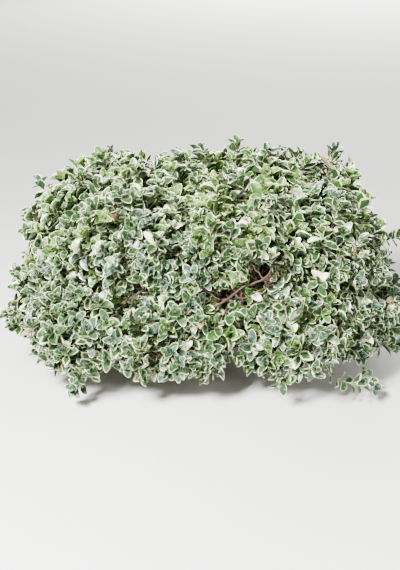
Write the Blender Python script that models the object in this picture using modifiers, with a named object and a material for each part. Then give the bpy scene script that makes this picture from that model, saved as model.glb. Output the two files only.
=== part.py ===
"""A low, dense, variegated Japanese euonymus, rooted in the ground. Metres, +Z up.

The shrub stands on a short flared stump whose flat cut is at the origin. Main boughs fan out from
the stump, one to each shoulder mass of foliage. Side boughs fork from them, outwards to the skirt
masses near the ground and upwards to the top masses. Each mass keeps to its own cell of the crown:
a leafy core with shoots standing out of it, and opposite pairs of leaves on every shoot.
"""

import math
import random
from collections import namedtuple
from itertools import product

import bmesh
import bpy
from mathutils import Matrix, Vector, noise
from mathutils.bvhtree import BVHTree

# The crown's outline, which is nearly flat on top and squarish in plan
CROWN_HALF_WIDTH = 0.575
CROWN_HALF_DEPTH = 0.42
CROWN_HEIGHT = 0.610
WIDEST_HEIGHT = 0.17
UNDERCUT_DEPTH = 0.18
PLAN_ROUNDNESS = 3.2
FLANK_ROUNDNESS = (1.87, 4.2)
UNDERCUT_ROUNDNESS = 2.5
LUMP_HEIGHT = 0.016
LUMPS_PER_METRE = 4.5
VALLEY_DEPTH = 0.012
BULGE_RADIUS = 0.14

# The tiers of foliage. The centres of a tier's masses stand on an ellipse at one height, and the
# first is at this share of the way round, counted from the front
Tier = namedtuple("Tier", "name count height half_x half_y start")
SKIRT = Tier("skirt", 9, 0.165, 0.430, 0.285, -0.015)
SHOULDER = Tier("shoulder", 8, 0.400, 0.395, 0.250, 0.045)
TOP = Tier("top", 3, 0.490, 0.290, 0.045, 0.0)
TIERS = (SKIRT, SHOULDER, TOP)
CENTRE_JITTER = 0.012
LARGEST_CELL = 0.6
BISECTIONS = 13

# The gap in the front of the crown, where the boughs show
GAP_CENTRE = Vector((0.110, -0.350, 0.310))
GAP_HALF_SIZE = Vector((0.105, 0.160, 0.036))
GAP_NEIGHBOUR = 0.20
GAP_PULL = 2.0

# The tips of the long shoots that stray out of the outline
STRAY_TIPS = (
    Vector((0.378, 0.050, 0.625)),
    Vector((0.590, -0.010, 0.372)),
    Vector((-0.480, 0.000, 0.535)),
    Vector((0.475, -0.330, 0.040)),
    Vector((-0.200, 0.440, 0.400)),
    Vector((0.250, 0.395, 0.530)),
)
STRAY_REACH = 0.075

# Clearances
FIT_GAP = 0.0003
CELL_GAP = 0.002
LIMB_CLEARANCE = 0.004
GROUND_CLEARANCE = 0.004

# Stump
STUMP_HEIGHT = 0.062
STUMP_RADIUS = 0.021
FLARE_RADIUS = 0.036
FLARE_LOBES = 5
FLARE_LOBE_DEPTH = 0.16
STUMP_SIDES = 12
STUMP_LEAN = Vector((0.004, -0.003, 0))
FORK_HEIGHTS = (0.036, 0.050)
FORK_REACH = 0.050
FORK_RISE_DEG = (34, 52)

# Boughs
MAIN_BOUGH_RADII = (0.0090, 0.0050)
SIDE_BOUGH_RADII = (0.0062, 0.0040)
MAIN_BOUGH_BEVEL = 1
SIDE_BOUGH_BEVEL = 1
BOUGH_STEPS = 3
BOUGH_LEAD = 0.012
BOUGH_WANDER = 0.006
FORK_SHARES = (0.30, 0.38, 0.46, 0.54, 0.62, 0.70)
FORK_ANGLES_DEG = (42, 75)
FORK_CLEARANCE = 0.004
FORK_PARENTS = 3
STUB_SIDES = 6
STUB_SWELL = 1.15

# Foliage
CORE_SINK = 0.070
CORE_APART = 0.010
CORE_DEPTH = 0.075
CORE_HEM = 0.050
CORE_FACETS = 20
CORE_SHRINK = 0.95
STEM_RADIUS = 0.0036
STEM_SIDES = 6
STEM_TAPER = 0.9
STEM_LENGTH = 0.030
SHOOT_START = 0.020
SHOOT_CANDIDATES = 240
SHOOT_DEPTH = 0.035
SHOOT_APART = 0.018
SHOOT_SPACING = 0.112
NEIGHBOUR_SPACING = 0.066
SHOOT_RADII = (0.0040, 0.0032)
SHOOT_RISE = 0.22
SHOOT_SPREAD = 0.5
PAIR_SPACING = 0.012
STRAY_PAIR_SPACING = 0.030
STRAY_PAIRS = 3
PAIR_ANGLES_DEG = (50, 70)
PAIR_ANGLE_JITTER_DEG = 7
LEAF_LENGTH = 0.080
LEAF_LENGTH_SPREAD = (0.92, 1.06)
LEAF_WIDTHS = (0.30, 0.27)
LEAF_WIDEST_AT = (0.30, 0.68)
LEAF_KEEL = 0.045
LEAF_ROOT = 0.0003
BLADE_START = 0.08
# What a leaf tries in turn where it doesn't fit: shares of its length and of its tilt
LEAF_TRIES = ((1.0, 1.0), (1.0, 0.6), (0.84, 1.0), (0.84, 0.6), (0.7, 0.8))

SEED = 7

WOOD = ("bark", (0.24, 0.13, 0.085), 0.85)
FOLIAGE = ("variegated_foliage", (0.46, 0.56, 0.37), 0.5)


class Limb:
    """A tapering limb along a smooth path."""

    def __init__(self, name, points, radii, bevel):
        self.name = name
        self.points = points
        self.radii = radii
        self.bevel = bevel
        self.stubs = []

    def at(self, share):
        """The point, direction and radius at this share of the limb's length."""
        place = share * (len(self.points) - 1)
        index = min(int(place), len(self.points) - 2)
        step = self.points[index + 1] - self.points[index]
        point = self.points[index] + step * (place - index)
        radius = self.radii[0] + (self.radii[1] - self.radii[0]) * share
        return point, step.normalized(), radius


class Mass:
    """One mass of foliage, which keeps to its own cell of the crown."""

    def __init__(self, tier, number, centre):
        self.tier = tier
        self.name = f"{tier.name}_{number + 1}"
        self.centre = centre
        self.outward = outward(centre)
        self.random = random.Random(f"{SEED} {self.name}")
        self.walls = []
        self.limb = None
        self.blades = []
        self.tips = []

    def holds(self, point, beyond=0.0, apart=CELL_GAP):
        """True if the point is in the cell, this far apart from its walls, and not beyond the outline."""
        if point.z < GROUND_CLEARANCE:
            return False
        if any((point - foot).dot(away) > -apart for foot, away in self.walls):
            return False
        from_gap = point - GAP_CENTRE
        if sum((from_gap[i] / GAP_HALF_SIZE[i]) ** 2 for i in range(3)) < 1:
            return False
        offset = point - self.centre
        aside = (offset - self.outward * offset.dot(self.outward)).length
        return past_outline(point) < beyond - VALLEY_DEPTH * (aside / BULGE_RADIUS) ** 2

    def room(self, direction, beyond=0.0, apart=CELL_GAP):
        """How far the cell reaches from the mass's centre in this direction."""
        near, far = 0.0, LARGEST_CELL / 2
        for _ in range(BISECTIONS):
            middle = (near + far) / 2
            if self.holds(self.centre + direction * middle, beyond, apart):
                near = middle
            else:
                far = middle
        return near


def crown_value(point):
    """1 on the crown's smooth outline, less inside it and more outside."""
    across = abs(point.x / CROWN_HALF_WIDTH) ** PLAN_ROUNDNESS
    along = abs(point.y / CROWN_HALF_DEPTH) ** PLAN_ROUNDNESS
    flat = (across + along) ** (1 / PLAN_ROUNDNESS)
    rise = point.z - WIDEST_HEIGHT
    if rise > 0:
        top, flank = FLANK_ROUNDNESS
        return flat**flank + (rise / (CROWN_HEIGHT - WIDEST_HEIGHT)) ** top
    return flat ** FLANK_ROUNDNESS[1] + (-rise / UNDERCUT_DEPTH) ** UNDERCUT_ROUNDNESS


def crown_slope(point):
    """The gradient of the crown's value."""
    step = 0.001
    axes = (Vector((step, 0, 0)), Vector((0, step, 0)), Vector((0, 0, step)))
    return Vector((crown_value(point + a) - crown_value(point - a)) / (2 * step) for a in axes)


def past_outline(point):
    """About how far the point is outside the crown's lumpy outline, less than zero inside it."""
    steepness = max(crown_slope(point).length, 1.0)
    return (crown_value(point) - 1) / steepness - LUMP_HEIGHT * noise.noise(point * LUMPS_PER_METRE)


def outward(point):
    """The direction in which the crown's outline faces, out past this point."""
    return crown_slope(point).normalized()


def round_the_ellipse(half_x, half_y, share):
    """The point at this share of the way round an ellipse, by length, counted from the front."""
    steps = 360
    turns = [2 * math.pi * i / steps - math.pi / 2 for i in range(steps + 1)]
    points = [Vector((half_x * math.cos(t), half_y * math.sin(t))) for t in turns]
    lengths = [(b - a).length for a, b in zip(points, points[1:])]
    wanted = (share % 1.0) * sum(lengths)
    for start, end, length in zip(points, points[1:], lengths):
        if wanted <= length:
            return start.lerp(end, wanted / length)
        wanted -= length
    return points[-1]


def lay_out_masses():
    """The masses of every tier, each walled off from the others halfway between their centres."""
    masses = []
    jitter = random.Random(SEED)
    for tier in TIERS:
        for number in range(tier.count):
            place = round_the_ellipse(tier.half_x, tier.half_y, tier.start + number / tier.count)
            shift = Vector(jitter.uniform(-CENTRE_JITTER, CENTRE_JITTER) for _ in range(3))
            centre = Vector((place.x, place.y, tier.height)) + shift
            masses.append(Mass(tier, number, centre))
    for mass in masses:
        for other in masses:
            if other is not mass:
                away = (other.centre - mass.centre).normalized()
                mass.walls.append(((other.centre + mass.centre) / 2, away))
    return masses


def smooth_path(start, start_way, end, end_way, chance):
    """Points along a limb that leaves and arrives straight and wanders a little between."""
    leave = start + start_way * BOUGH_LEAD
    arrive = end - end_way * BOUGH_LEAD
    pull = (arrive - leave).length * 0.38
    first, second = leave + start_way * pull, arrive - end_way * pull
    points = [start]
    for i in range(BOUGH_STEPS + 1):
        t = i / BOUGH_STEPS
        s = 1 - t
        point = s**3 * leave + 3 * s * s * t * first + 3 * s * t * t * second + t**3 * arrive
        if 0 < i < BOUGH_STEPS:
            point += Vector(chance.uniform(-BOUGH_WANDER, BOUGH_WANDER) for _ in range(3))
        points.append(point)
    points.append(end)
    return points


def bough_tip(mass, start):
    """The end of a mass's bough and its direction there, on the inner side of the mass."""
    inwards = (start - mass.centre).normalized()
    arrive = (mass.outward - inwards).normalized()
    from_gap = mass.centre - GAP_CENTRE
    if from_gap.length < GAP_NEIGHBOUR and mass.tier is SHOULDER:
        arrive = (arrive + GAP_PULL * from_gap.normalized()).normalized()
    return mass.centre - arrive * (CORE_DEPTH + STEM_LENGTH), arrive


def grow_main_boughs(masses):
    """One bough from the stump to each shoulder mass, and the stump's forks that they start on."""
    boughs, forks = [], []
    for number, mass in enumerate(m for m in masses if m.tier is SHOULDER):
        side = number % 2
        bearing = math.atan2(mass.centre.y, mass.centre.x)
        rise = math.radians(FORK_RISE_DEG[side])
        way = Vector((
            math.cos(bearing) * math.cos(rise),
            math.sin(bearing) * math.cos(rise),
            math.sin(rise),
        ))
        root = STUMP_LEAN * (FORK_HEIGHTS[side] / STUMP_HEIGHT)
        root.z = FORK_HEIGHTS[side]
        fork_end = root + way * FORK_REACH
        forks.append((root, fork_end))
        tip, arrive = bough_tip(mass, fork_end)
        start = fork_end + way * FIT_GAP
        path = smooth_path(start, way, tip, arrive, mass.random)
        boughs.append(Limb(f"bough_{mass.name}", path, MAIN_BOUGH_RADII, MAIN_BOUGH_BEVEL))
        mass.limb = boughs[-1]
    return boughs, forks


def bearing_gap(a, b):
    """The angle between two points' bearings round the stump."""
    turn = math.atan2(a.y, a.x) - math.atan2(b.y, b.x)
    return abs((turn + math.pi) % (2 * math.pi) - math.pi)


def clears(limb, others):
    """True if no sample along the limb comes near another limb. Its first stretch isn't tested."""
    samples = [i / 20 for i in range(21)]
    for share in samples[4:]:
        point, _, radius = limb.at(share)
        for other in others:
            for place in samples:
                near, _, near_radius = other.at(place)
                if (point - near).length < radius + near_radius + FORK_CLEARANCE:
                    return False
    return True


def side_bough(mass, parent, share):
    """A bough to the mass that forks from its parent at this share, and the root and end of its stub."""
    fork, along, parent_radius = parent.at(share)
    aim = (mass.centre - fork).normalized()
    low, high = (math.radians(angle) for angle in FORK_ANGLES_DEG)
    angle = min(max(aim.angle(along), low), high)
    away = (aim - along * aim.dot(along)).normalized()
    way = along * math.cos(angle) + away * math.sin(angle)
    wide = SIDE_BOUGH_RADII[0]
    reach = (parent_radius + wide * math.cos(angle) + FORK_CLEARANCE) / math.sin(angle)
    stub_end = fork + way * reach
    tip, arrive = bough_tip(mass, stub_end)
    path = smooth_path(stub_end + way * FIT_GAP, way, tip, arrive, mass.random)
    limb = Limb(f"bough_{mass.name}", path, SIDE_BOUGH_RADII, SIDE_BOUGH_BEVEL)
    return limb, (fork, stub_end)


def grow_side_boughs(masses, main_boughs):
    """One bough to each skirt and top mass, from the nearest main bough that leaves it a clear way."""
    boughs = []
    for mass in masses:
        if mass.tier is SHOULDER:
            continue
        nearest = sorted(main_boughs, key=lambda b: bearing_gap(b.points[-1], mass.centre))
        for parent, share in product(nearest[:FORK_PARENTS], FORK_SHARES):
            limb, stub = side_bough(mass, parent, share)
            if clears(limb, main_boughs + boughs):
                break
        parent.stubs.append(stub)
        boughs.append(limb)
        mass.limb = limb
    return boughs


def material(look):
    """A plain Principled material from a name, a colour and a roughness."""
    name, colour, roughness = look
    made = bpy.data.materials.get(name)
    if made is None:
        made = bpy.data.materials.new(name)
        made.use_nodes = True
        shader = made.node_tree.nodes["Principled BSDF"]
        shader.inputs["Base Color"].default_value = (*colour, 1)
        shader.inputs["Roughness"].default_value = roughness
        shader.inputs["Metallic"].default_value = 0
    return made


def new_object(name, data, collection, look):
    """Links a new object with its material into a collection."""
    made = bpy.data.objects.new(name, data)
    collection.objects.link(made)
    if not data.materials:
        data.materials.append(material(look))
    return made


def mesh_from(bm, name):
    """Turns a bmesh into mesh data and frees it."""
    data = bpy.data.meshes.new(name)
    bm.to_mesh(data)
    bm.free()
    return data


def frame_along(way, across):
    """A rotation whose Z runs along way, with X as near as it can be to across."""
    side = (across - way * across.dot(way)).normalized()
    return Matrix((side, way.cross(side), way)).transposed().to_4x4()


def any_across(way):
    """Some direction that isn't along way."""
    return Vector((1, 0, 0)) if abs(way.x) < 0.7 else Vector((0, 1, 0))


def cone_between(name, start, end, radii, sides, collection, look):
    """A closed cone frustum from start to end."""
    way = end - start
    bm = bmesh.new()
    bmesh.ops.create_cone(
        bm, cap_ends=True, segments=sides, radius1=radii[0], radius2=radii[1], depth=way.length
    )
    turn = frame_along(way.normalized(), any_across(way.normalized()))
    bm.transform(Matrix.Translation((start + end) / 2) @ turn)
    return new_object(name, mesh_from(bm, name), collection, look)


def limb_object(limb, collection):
    """A limb as a curve with a round bevel that tapers."""
    curve = bpy.data.curves.new(limb.name, "CURVE")
    curve.dimensions = "3D"
    curve.bevel_depth = 1.0
    curve.bevel_resolution = limb.bevel
    curve.use_fill_caps = True
    spline = curve.splines.new("POLY")
    spline.points.add(len(limb.points) - 1)
    for i, point in enumerate(limb.points):
        share = i / (len(limb.points) - 1)
        spline.points[i].co = (*point, 1)
        spline.points[i].radius = limb.radii[0] + (limb.radii[1] - limb.radii[0]) * share
    return new_object(limb.name, curve, collection, WOOD)


def as_mesh(obj, collection):
    """Swaps a curve object for a mesh object of the same shape, with its caps welded."""
    graph = bpy.context.evaluated_depsgraph_get()
    data = bpy.data.meshes.new_from_object(obj.evaluated_get(graph))
    bm = bmesh.new()
    bm.from_mesh(data)
    bmesh.ops.remove_doubles(bm, verts=bm.verts, dist=0.00001)
    bm.to_mesh(data)
    bm.free()
    name, place = obj.name, obj.matrix_world.copy()
    bpy.data.objects.remove(obj)
    made = new_object(name, data, collection, WOOD)
    made.matrix_world = place
    return made


def keep_main_body(mesh):
    """Drops loose scraps and the walls of sealed hollows, which leaves the one outer body."""
    bm = bmesh.new()
    bm.from_mesh(mesh)
    left, bodies = set(bm.faces), []
    while left:
        waiting = [left.pop()]
        body = list(waiting)
        while waiting:
            edges = waiting.pop().edges
            near = {face for edge in edges for face in edge.link_faces} & left
            left -= near
            waiting += near
            body += near
        bodies.append(body)
    bodies.sort(key=len)
    scraps = [face for body in bodies[:-1] for face in body]
    bmesh.ops.delete(bm, geom=scraps, context="FACES")
    bmesh.ops.triangulate(bm, faces=bm.faces)
    whole = all(edge.is_manifold for edge in bm.edges)
    bm.to_mesh(mesh)
    bm.free()
    return whole


def fuse(base, pieces):
    """Joins every object of the pieces' collection to the base object, then removes them."""
    for solver in ("EXACT", "MANIFOLD"):
        union = base.modifiers.new("fuse", "BOOLEAN")
        union.operation = "UNION"
        union.operand_type = "COLLECTION"
        union.collection = pieces
        union.solver = solver
        graph = bpy.context.evaluated_depsgraph_get()
        fused = bpy.data.meshes.new_from_object(base.evaluated_get(graph))
        base.modifiers.clear()
        if keep_main_body(fused):
            break
    base.data = fused
    for piece in list(pieces.objects):
        bpy.data.objects.remove(piece)
    bpy.data.collections.remove(pieces)


def helper_collection(name):
    """A collection for pieces that are about to be fused."""
    made = bpy.data.collections.new(name)
    bpy.context.scene.collection.children.link(made)
    return made


def add_stubs(base, stubs, radius):
    """Fuses short cones to a limb, which other limbs start on."""
    pieces = helper_collection("stubs")
    for root, end in stubs:
        cone_between("stub", root, end, (radius * STUB_SWELL, radius), STUB_SIDES, pieces, WOOD)
    fuse(base, pieces)


def make_stump(forks, collection):
    """The stump: a turned profile with root lobes at its foot, and a stub for each main bough."""
    profile = bmesh.new()
    outline = (
        (0.0, 1.0),
        (STUMP_RADIUS, 1.0),
        (STUMP_RADIUS, 0.55),
        (FLARE_RADIUS * 0.80, 0.22),
        (FLARE_RADIUS, 0.0),
        (0.0, 0.0),
    )
    points = [profile.verts.new((radius, 0, share * STUMP_HEIGHT)) for radius, share in outline]
    for a, b in zip(points, points[1:]):
        profile.edges.new((a, b))
    stump = new_object("trunk", mesh_from(profile, "trunk"), collection, WOOD)
    turn = stump.modifiers.new("turn", "SCREW")
    turn.steps = turn.render_steps = STUMP_SIDES
    turn.use_merge_vertices = True
    turn.merge_threshold = 0.00001
    graph = bpy.context.evaluated_depsgraph_get()
    turned = bpy.data.meshes.new_from_object(stump.evaluated_get(graph))
    stump.modifiers.clear()
    stump.data = turned
    for vert in turned.vertices:
        share = vert.co.z / STUMP_HEIGHT
        bearing = math.atan2(vert.co.y, vert.co.x)
        lobe = 1 + FLARE_LOBE_DEPTH * (1 - share) ** 2 * math.cos(FLARE_LOBES * bearing)
        vert.co = Vector((vert.co.x * lobe, vert.co.y * lobe, vert.co.z)) + STUMP_LEAN * share
    add_stubs(stump, forks, MAIN_BOUGH_RADII[0])


def make_limbs(main_boughs, side_boughs, collection):
    """The bough objects. A main bough carries a stub for each side bough that forks from it."""
    for limb in side_boughs:
        limb_object(limb, collection)
    for limb in main_boughs:
        made = as_mesh(limb_object(limb, collection), collection)
        if limb.stubs:
            add_stubs(made, limb.stubs, SIDE_BOUGH_RADII[0])


def limb_space(collection):
    """A search tree of every limb's surface, moved out by the clearance that foliage keeps."""
    graph = bpy.context.evaluated_depsgraph_get()
    points, faces = [], []
    for obj in collection.objects:
        mesh = bpy.data.meshes.new_from_object(obj.evaluated_get(graph))
        offset = len(points)
        points += [v.co + v.normal * LIMB_CLEARANCE for v in mesh.vertices]
        faces += [[offset + i for i in face.vertices] for face in mesh.polygons]
        bpy.data.meshes.remove(mesh)
    return BVHTree.FromPolygons(points, faces)


def touches(bm, space):
    """True if the shape crosses the limbs' space."""
    return bool(space.overlap(BVHTree.FromBMesh(bm)))


def leaf_shape(length):
    """A leaf lying along +Y whose sides rise from its midrib: 6 points, 8 faces."""
    bm = bmesh.new()
    high = LEAF_KEEL * length
    outline = [(0, 0, 0), (0, length, 0)]
    for width, place in zip(LEAF_WIDTHS, LEAF_WIDEST_AT):
        outline += [(-width * length, place * length, high), (width * length, place * length, high)]
    points = [bm.verts.new(co) for co in outline]
    bmesh.ops.convex_hull(bm, input=points)
    bmesh.ops.triangulate(bm, faces=bm.faces)
    return bm


def add_leaf(mass, root, axis, radial, tilt, beyond, space, collection):
    """Adds one leaf that leans out from the shoot's axis, a smaller or steeper one, or none."""
    for size, lean in LEAF_TRIES:
        way = axis * math.cos(tilt * lean) + radial * math.sin(tilt * lean)
        facing = axis * math.sin(tilt * lean) - radial * math.cos(tilt * lean)
        side = way.cross(facing)
        turn = Matrix((side, way, facing)).transposed().to_4x4()
        length = LEAF_LENGTH * size * mass.random.uniform(*LEAF_LENGTH_SPREAD)
        blade = leaf_shape(length * (1 - BLADE_START))
        blade.transform(Matrix.Translation(root + way * length * BLADE_START) @ turn)
        clear = not any(touches(blade, other) for other in mass.blades)
        bm = leaf_shape(length)
        bm.transform(Matrix.Translation(root + way * LEAF_ROOT) @ turn)
        if clear and all(mass.holds(v.co, beyond) for v in bm.verts) and not touches(bm, space):
            mass.blades.append(BVHTree.FromBMesh(blade))
            blade.free()
            new_object("leaf", mesh_from(bm, "leaf"), collection, FOLIAGE)
            return
        blade.free()
        bm.free()


def add_shoot(mass, base, tip, pairs, spacing, beyond, space, collection):
    """Adds one shoot with crossed pairs of leaves, if it keeps to the mass's space."""
    way = (tip - base).normalized()
    shoot = cone_between("shoot", base, tip, SHOOT_RADII, 3, collection, FOLIAGE)
    bm = bmesh.new()
    bm.from_mesh(shoot.data)
    fits = all(mass.holds(v.co, beyond) for v in bm.verts) and not touches(bm, space)
    bm.free()
    if not fits:
        bpy.data.objects.remove(shoot)
        return False
    axis = (way * SHOOT_SPREAD + outward(tip) + Vector((0, 0, SHOOT_RISE))).normalized()
    side = frame_along(axis, any_across(axis)).to_3x3()
    spin = mass.random.uniform(0, math.pi)
    for pair in range(pairs):
        root = tip - way * (spacing * pair + SHOOT_RADII[1])
        for half in range(2):
            turn = spin + pair * math.pi / 2 + half * math.pi
            radial = side @ Vector((math.cos(turn), math.sin(turn), 0))
            jitter = mass.random.uniform(-PAIR_ANGLE_JITTER_DEG, PAIR_ANGLE_JITTER_DEG)
            tilt = math.radians(PAIR_ANGLES_DEG[min(pair, 1)] + jitter)
            add_leaf(mass, root, axis, radial, tilt, beyond, space, collection)
    return True


def spread_directions(count, turn):
    """Evenly spread directions on a sphere."""
    golden = math.pi * (3 - math.sqrt(5))
    made = []
    for i in range(count):
        z = 1 - 2 * (i + 0.5) / count
        flat = math.sqrt(1 - z * z)
        angle = golden * i + turn
        made.append(Vector((flat * math.cos(angle), flat * math.sin(angle), z)))
    return made


def cut_off(bm, point, away):
    """Cuts off what lies beyond a plane and closes the cut."""
    geometry = bm.verts[:] + bm.edges[:] + bm.faces[:]
    cut = bmesh.ops.bisect_plane(
        bm, geom=geometry, plane_co=point, plane_no=away, clear_outer=True
    )
    edges = [item for item in cut["geom_cut"] if isinstance(item, bmesh.types.BMEdge)]
    if edges:
        bmesh.ops.edgenet_fill(bm, edges=edges)


def core_shape(mass):
    """The mass's core: its cell, cut back from the walls, the crown's outline, the gap and the hem."""
    bm = bmesh.new()
    bmesh.ops.create_cube(bm, size=LARGEST_CELL, matrix=Matrix.Translation(mass.centre))
    for foot, away in mass.walls:
        cut_off(bm, foot - away * CORE_APART, away)
    for direction in spread_directions(CORE_FACETS, 0):
        point = mass.centre + direction * mass.room(direction, -CORE_SINK, -1)
        if past_outline(point) > -2 * CORE_SINK:
            cut_off(bm, point, outward(point))
    cut_off(bm, mass.centre - mass.outward * CORE_DEPTH, -mass.outward)
    cut_off(bm, Vector((0, 0, CORE_HEM)), Vector((0, 0, -1)))
    to_gap = (GAP_CENTRE - mass.centre).normalized()
    gap_half = math.sqrt(sum((GAP_HALF_SIZE[i] * to_gap[i]) ** 2 for i in range(3)))
    cut_off(bm, GAP_CENTRE - to_gap * gap_half, to_gap)
    bmesh.ops.recalc_face_normals(bm, faces=bm.faces)
    return bm


def add_stray_shoots(mass, masses, space, collection):
    """Adds the stray shoots whose tips are nearest to this mass."""
    for tip in STRAY_TIPS:
        if min(masses, key=lambda other: (other.centre - tip).length) is mass:
            way = (tip - mass.centre).normalized()
            base = mass.centre + way * SHOOT_START
            end = tip - way * LEAF_LENGTH / 2
            add_shoot(mass, base, end, STRAY_PAIRS, STRAY_PAIR_SPACING, STRAY_REACH, space, collection)


def add_shoots(mass, tips, space, collection):
    """Adds shoots evenly over the outer side of the mass, apart from those of its neighbours."""
    rise = LEAF_LENGTH * math.cos(math.radians(PAIR_ANGLES_DEG[0]))
    for direction in spread_directions(SHOOT_CANDIDATES, mass.random.uniform(0, math.pi)):
        edge = mass.centre + direction * mass.room(direction, 0.0, SHOOT_APART)
        if past_outline(edge) < -SHOOT_DEPTH or direction.dot(mass.outward) < -0.3:
            continue
        if any((edge - other).length < SHOOT_SPACING for other in mass.tips):
            continue
        if any((edge - other).length < NEIGHBOUR_SPACING for other in tips):
            continue
        base = mass.centre + direction * SHOOT_START
        tip = edge - outward(edge) * rise
        if add_shoot(mass, base, tip, 2, PAIR_SPACING, 0.0, space, collection):
            mass.tips.append(edge)
    tips += mass.tips


def make_mass(mass, masses, tips, space, collection):
    """A mass of foliage: a rough core, its stem, and leafy shoots that stand out of it."""
    bm = core_shape(mass)
    while touches(bm, space):
        for vert in bm.verts:
            vert.co = mass.centre.lerp(vert.co, CORE_SHRINK)
    core = new_object(f"foliage_{mass.name}", mesh_from(bm, mass.name), collection, FOLIAGE)
    pieces = helper_collection("pieces")
    tip, arrive, _ = mass.limb.at(1.0)
    radii = (STEM_RADIUS, STEM_RADIUS * STEM_TAPER)
    cone_between("stem", tip + arrive * FIT_GAP, mass.centre, radii, STEM_SIDES, pieces, FOLIAGE)
    add_stray_shoots(mass, masses, space, pieces)
    add_shoots(mass, tips, space, pieces)
    fuse(core, pieces)


def main():
    for obj in list(bpy.data.objects):
        bpy.data.objects.remove(obj)
    shrub = bpy.data.collections.new("variegated_euonymus")
    bpy.context.scene.collection.children.link(shrub)
    masses = lay_out_masses()
    main_boughs, forks = grow_main_boughs(masses)
    side_boughs = grow_side_boughs(masses, main_boughs)
    make_stump(forks, shrub)
    make_limbs(main_boughs, side_boughs, shrub)
    space = limb_space(shrub)
    tips = []
    for mass in masses:
        make_mass(mass, masses, tips, space, shrub)


main()
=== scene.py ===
"""Dressed model of a variegated Japanese euonymus: a low, dense, mounded shrub. Metres, +Z up.

The part's solids give the crown's reach and the paths of its limbs. This script grows the same limbs
again by the same rule and covers them with bark. From the boughs' tips it carries the rule on to
branches, leafy shoots and single leaves of life size, with cream margins.
"""

import logging
import math
import random
from collections import defaultdict
from dataclasses import dataclass, field
from enum import Enum
from itertools import product
from typing import Iterator

import bmesh
import bpy
from mathutils import Matrix, Vector, kdtree, noise


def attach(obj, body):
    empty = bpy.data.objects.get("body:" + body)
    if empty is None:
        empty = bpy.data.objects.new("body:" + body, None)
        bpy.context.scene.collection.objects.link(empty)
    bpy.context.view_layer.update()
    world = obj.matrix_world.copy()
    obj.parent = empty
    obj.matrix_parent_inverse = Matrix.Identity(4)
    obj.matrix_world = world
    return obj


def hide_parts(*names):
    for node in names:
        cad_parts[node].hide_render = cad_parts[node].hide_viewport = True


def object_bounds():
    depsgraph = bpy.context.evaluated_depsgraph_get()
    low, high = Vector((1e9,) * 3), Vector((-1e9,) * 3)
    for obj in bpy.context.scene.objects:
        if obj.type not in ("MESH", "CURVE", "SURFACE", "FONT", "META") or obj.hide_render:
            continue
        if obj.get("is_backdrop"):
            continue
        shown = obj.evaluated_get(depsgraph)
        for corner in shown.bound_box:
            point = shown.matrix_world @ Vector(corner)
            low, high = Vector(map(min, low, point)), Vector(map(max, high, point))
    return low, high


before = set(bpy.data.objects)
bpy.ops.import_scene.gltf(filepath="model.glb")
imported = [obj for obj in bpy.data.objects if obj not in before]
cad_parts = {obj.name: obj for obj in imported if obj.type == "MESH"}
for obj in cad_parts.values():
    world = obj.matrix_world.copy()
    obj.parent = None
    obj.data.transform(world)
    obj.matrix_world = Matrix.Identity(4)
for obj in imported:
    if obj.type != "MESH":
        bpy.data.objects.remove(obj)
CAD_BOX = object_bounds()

log = logging.getLogger("euonymus")

SEED = 7
UP = Vector((0, 0, 1))
Colour = tuple[float, float, float]


# The crown's outline and cells, by the same rule as the part's solids


@dataclass(frozen=True)
class CrownOutline:
    """The crown's smooth outline with its lumps: nearly flat on top and squarish in plan."""

    half_width: float = 0.575
    half_depth: float = 0.42
    height: float = 0.610
    widest_height: float = 0.17
    undercut_depth: float = 0.18
    plan_roundness: float = 3.2
    flank_roundness: tuple[float, float] = (1.87, 4.2)
    undercut_roundness: float = 2.5
    lump_height: float = 0.016
    lumps_per_metre: float = 4.5

    def value(self, point: Vector) -> float:
        """Measures a point against the outline.

        Args:
            point: a place in the row frame.

        Returns:
            1 on the smooth outline, less inside it and more outside.
        """
        across = abs(point.x / self.half_width) ** self.plan_roundness
        along = abs(point.y / self.half_depth) ** self.plan_roundness
        flat = (across + along) ** (1 / self.plan_roundness)
        rise = point.z - self.widest_height
        if rise > 0:
            top, flank = self.flank_roundness
            return flat**flank + (rise / (self.height - self.widest_height)) ** top
        return flat ** self.flank_roundness[1] + (-rise / self.undercut_depth) ** self.undercut_roundness

    def slope(self, point: Vector) -> Vector:
        """The gradient of the value at a point."""
        step = 0.001
        axes = (Vector((step, 0, 0)), Vector((0, step, 0)), Vector((0, 0, step)))
        return Vector((self.value(point + a) - self.value(point - a)) / (2 * step) for a in axes)

    def past(self, point: Vector) -> float:
        """About how far a point is outside the lumpy outline, less than zero inside it."""
        steepness = max(self.slope(point).length, 1.0)
        lump = self.lump_height * noise.noise(point * self.lumps_per_metre)
        return (self.value(point) - 1) / steepness - lump

    def outward(self, point: Vector) -> Vector:
        """The direction in which the outline faces, out past this point."""
        return self.slope(point).normalized()


@dataclass(frozen=True)
class Hollow:
    """An ellipsoid that foliage keeps out of."""

    centre: Vector
    half_size: Vector

    def holds(self, point: Vector) -> bool:
        """True if the point lies in the hollow."""
        offset = point - self.centre
        return sum((offset[i] / self.half_size[i]) ** 2 for i in range(3)) < 1


@dataclass(frozen=True)
class Dent:
    """A round dip in the leafy surface."""

    centre: Vector
    radius: float
    depth: float

    def at(self, point: Vector) -> float:
        """How deep the dip is at a point."""
        return self.depth * math.exp(-((point - self.centre).length_squared) / self.radius**2)


@dataclass(frozen=True)
class Arch:
    """A place along the front where the foliage's lower edge lifts."""

    across: float
    half_width: float
    rise: float

    def at(self, across: float) -> float:
        """How much the edge lifts at a place."""
        return self.rise * math.exp(-(((across - self.across) / self.half_width) ** 2))


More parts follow.
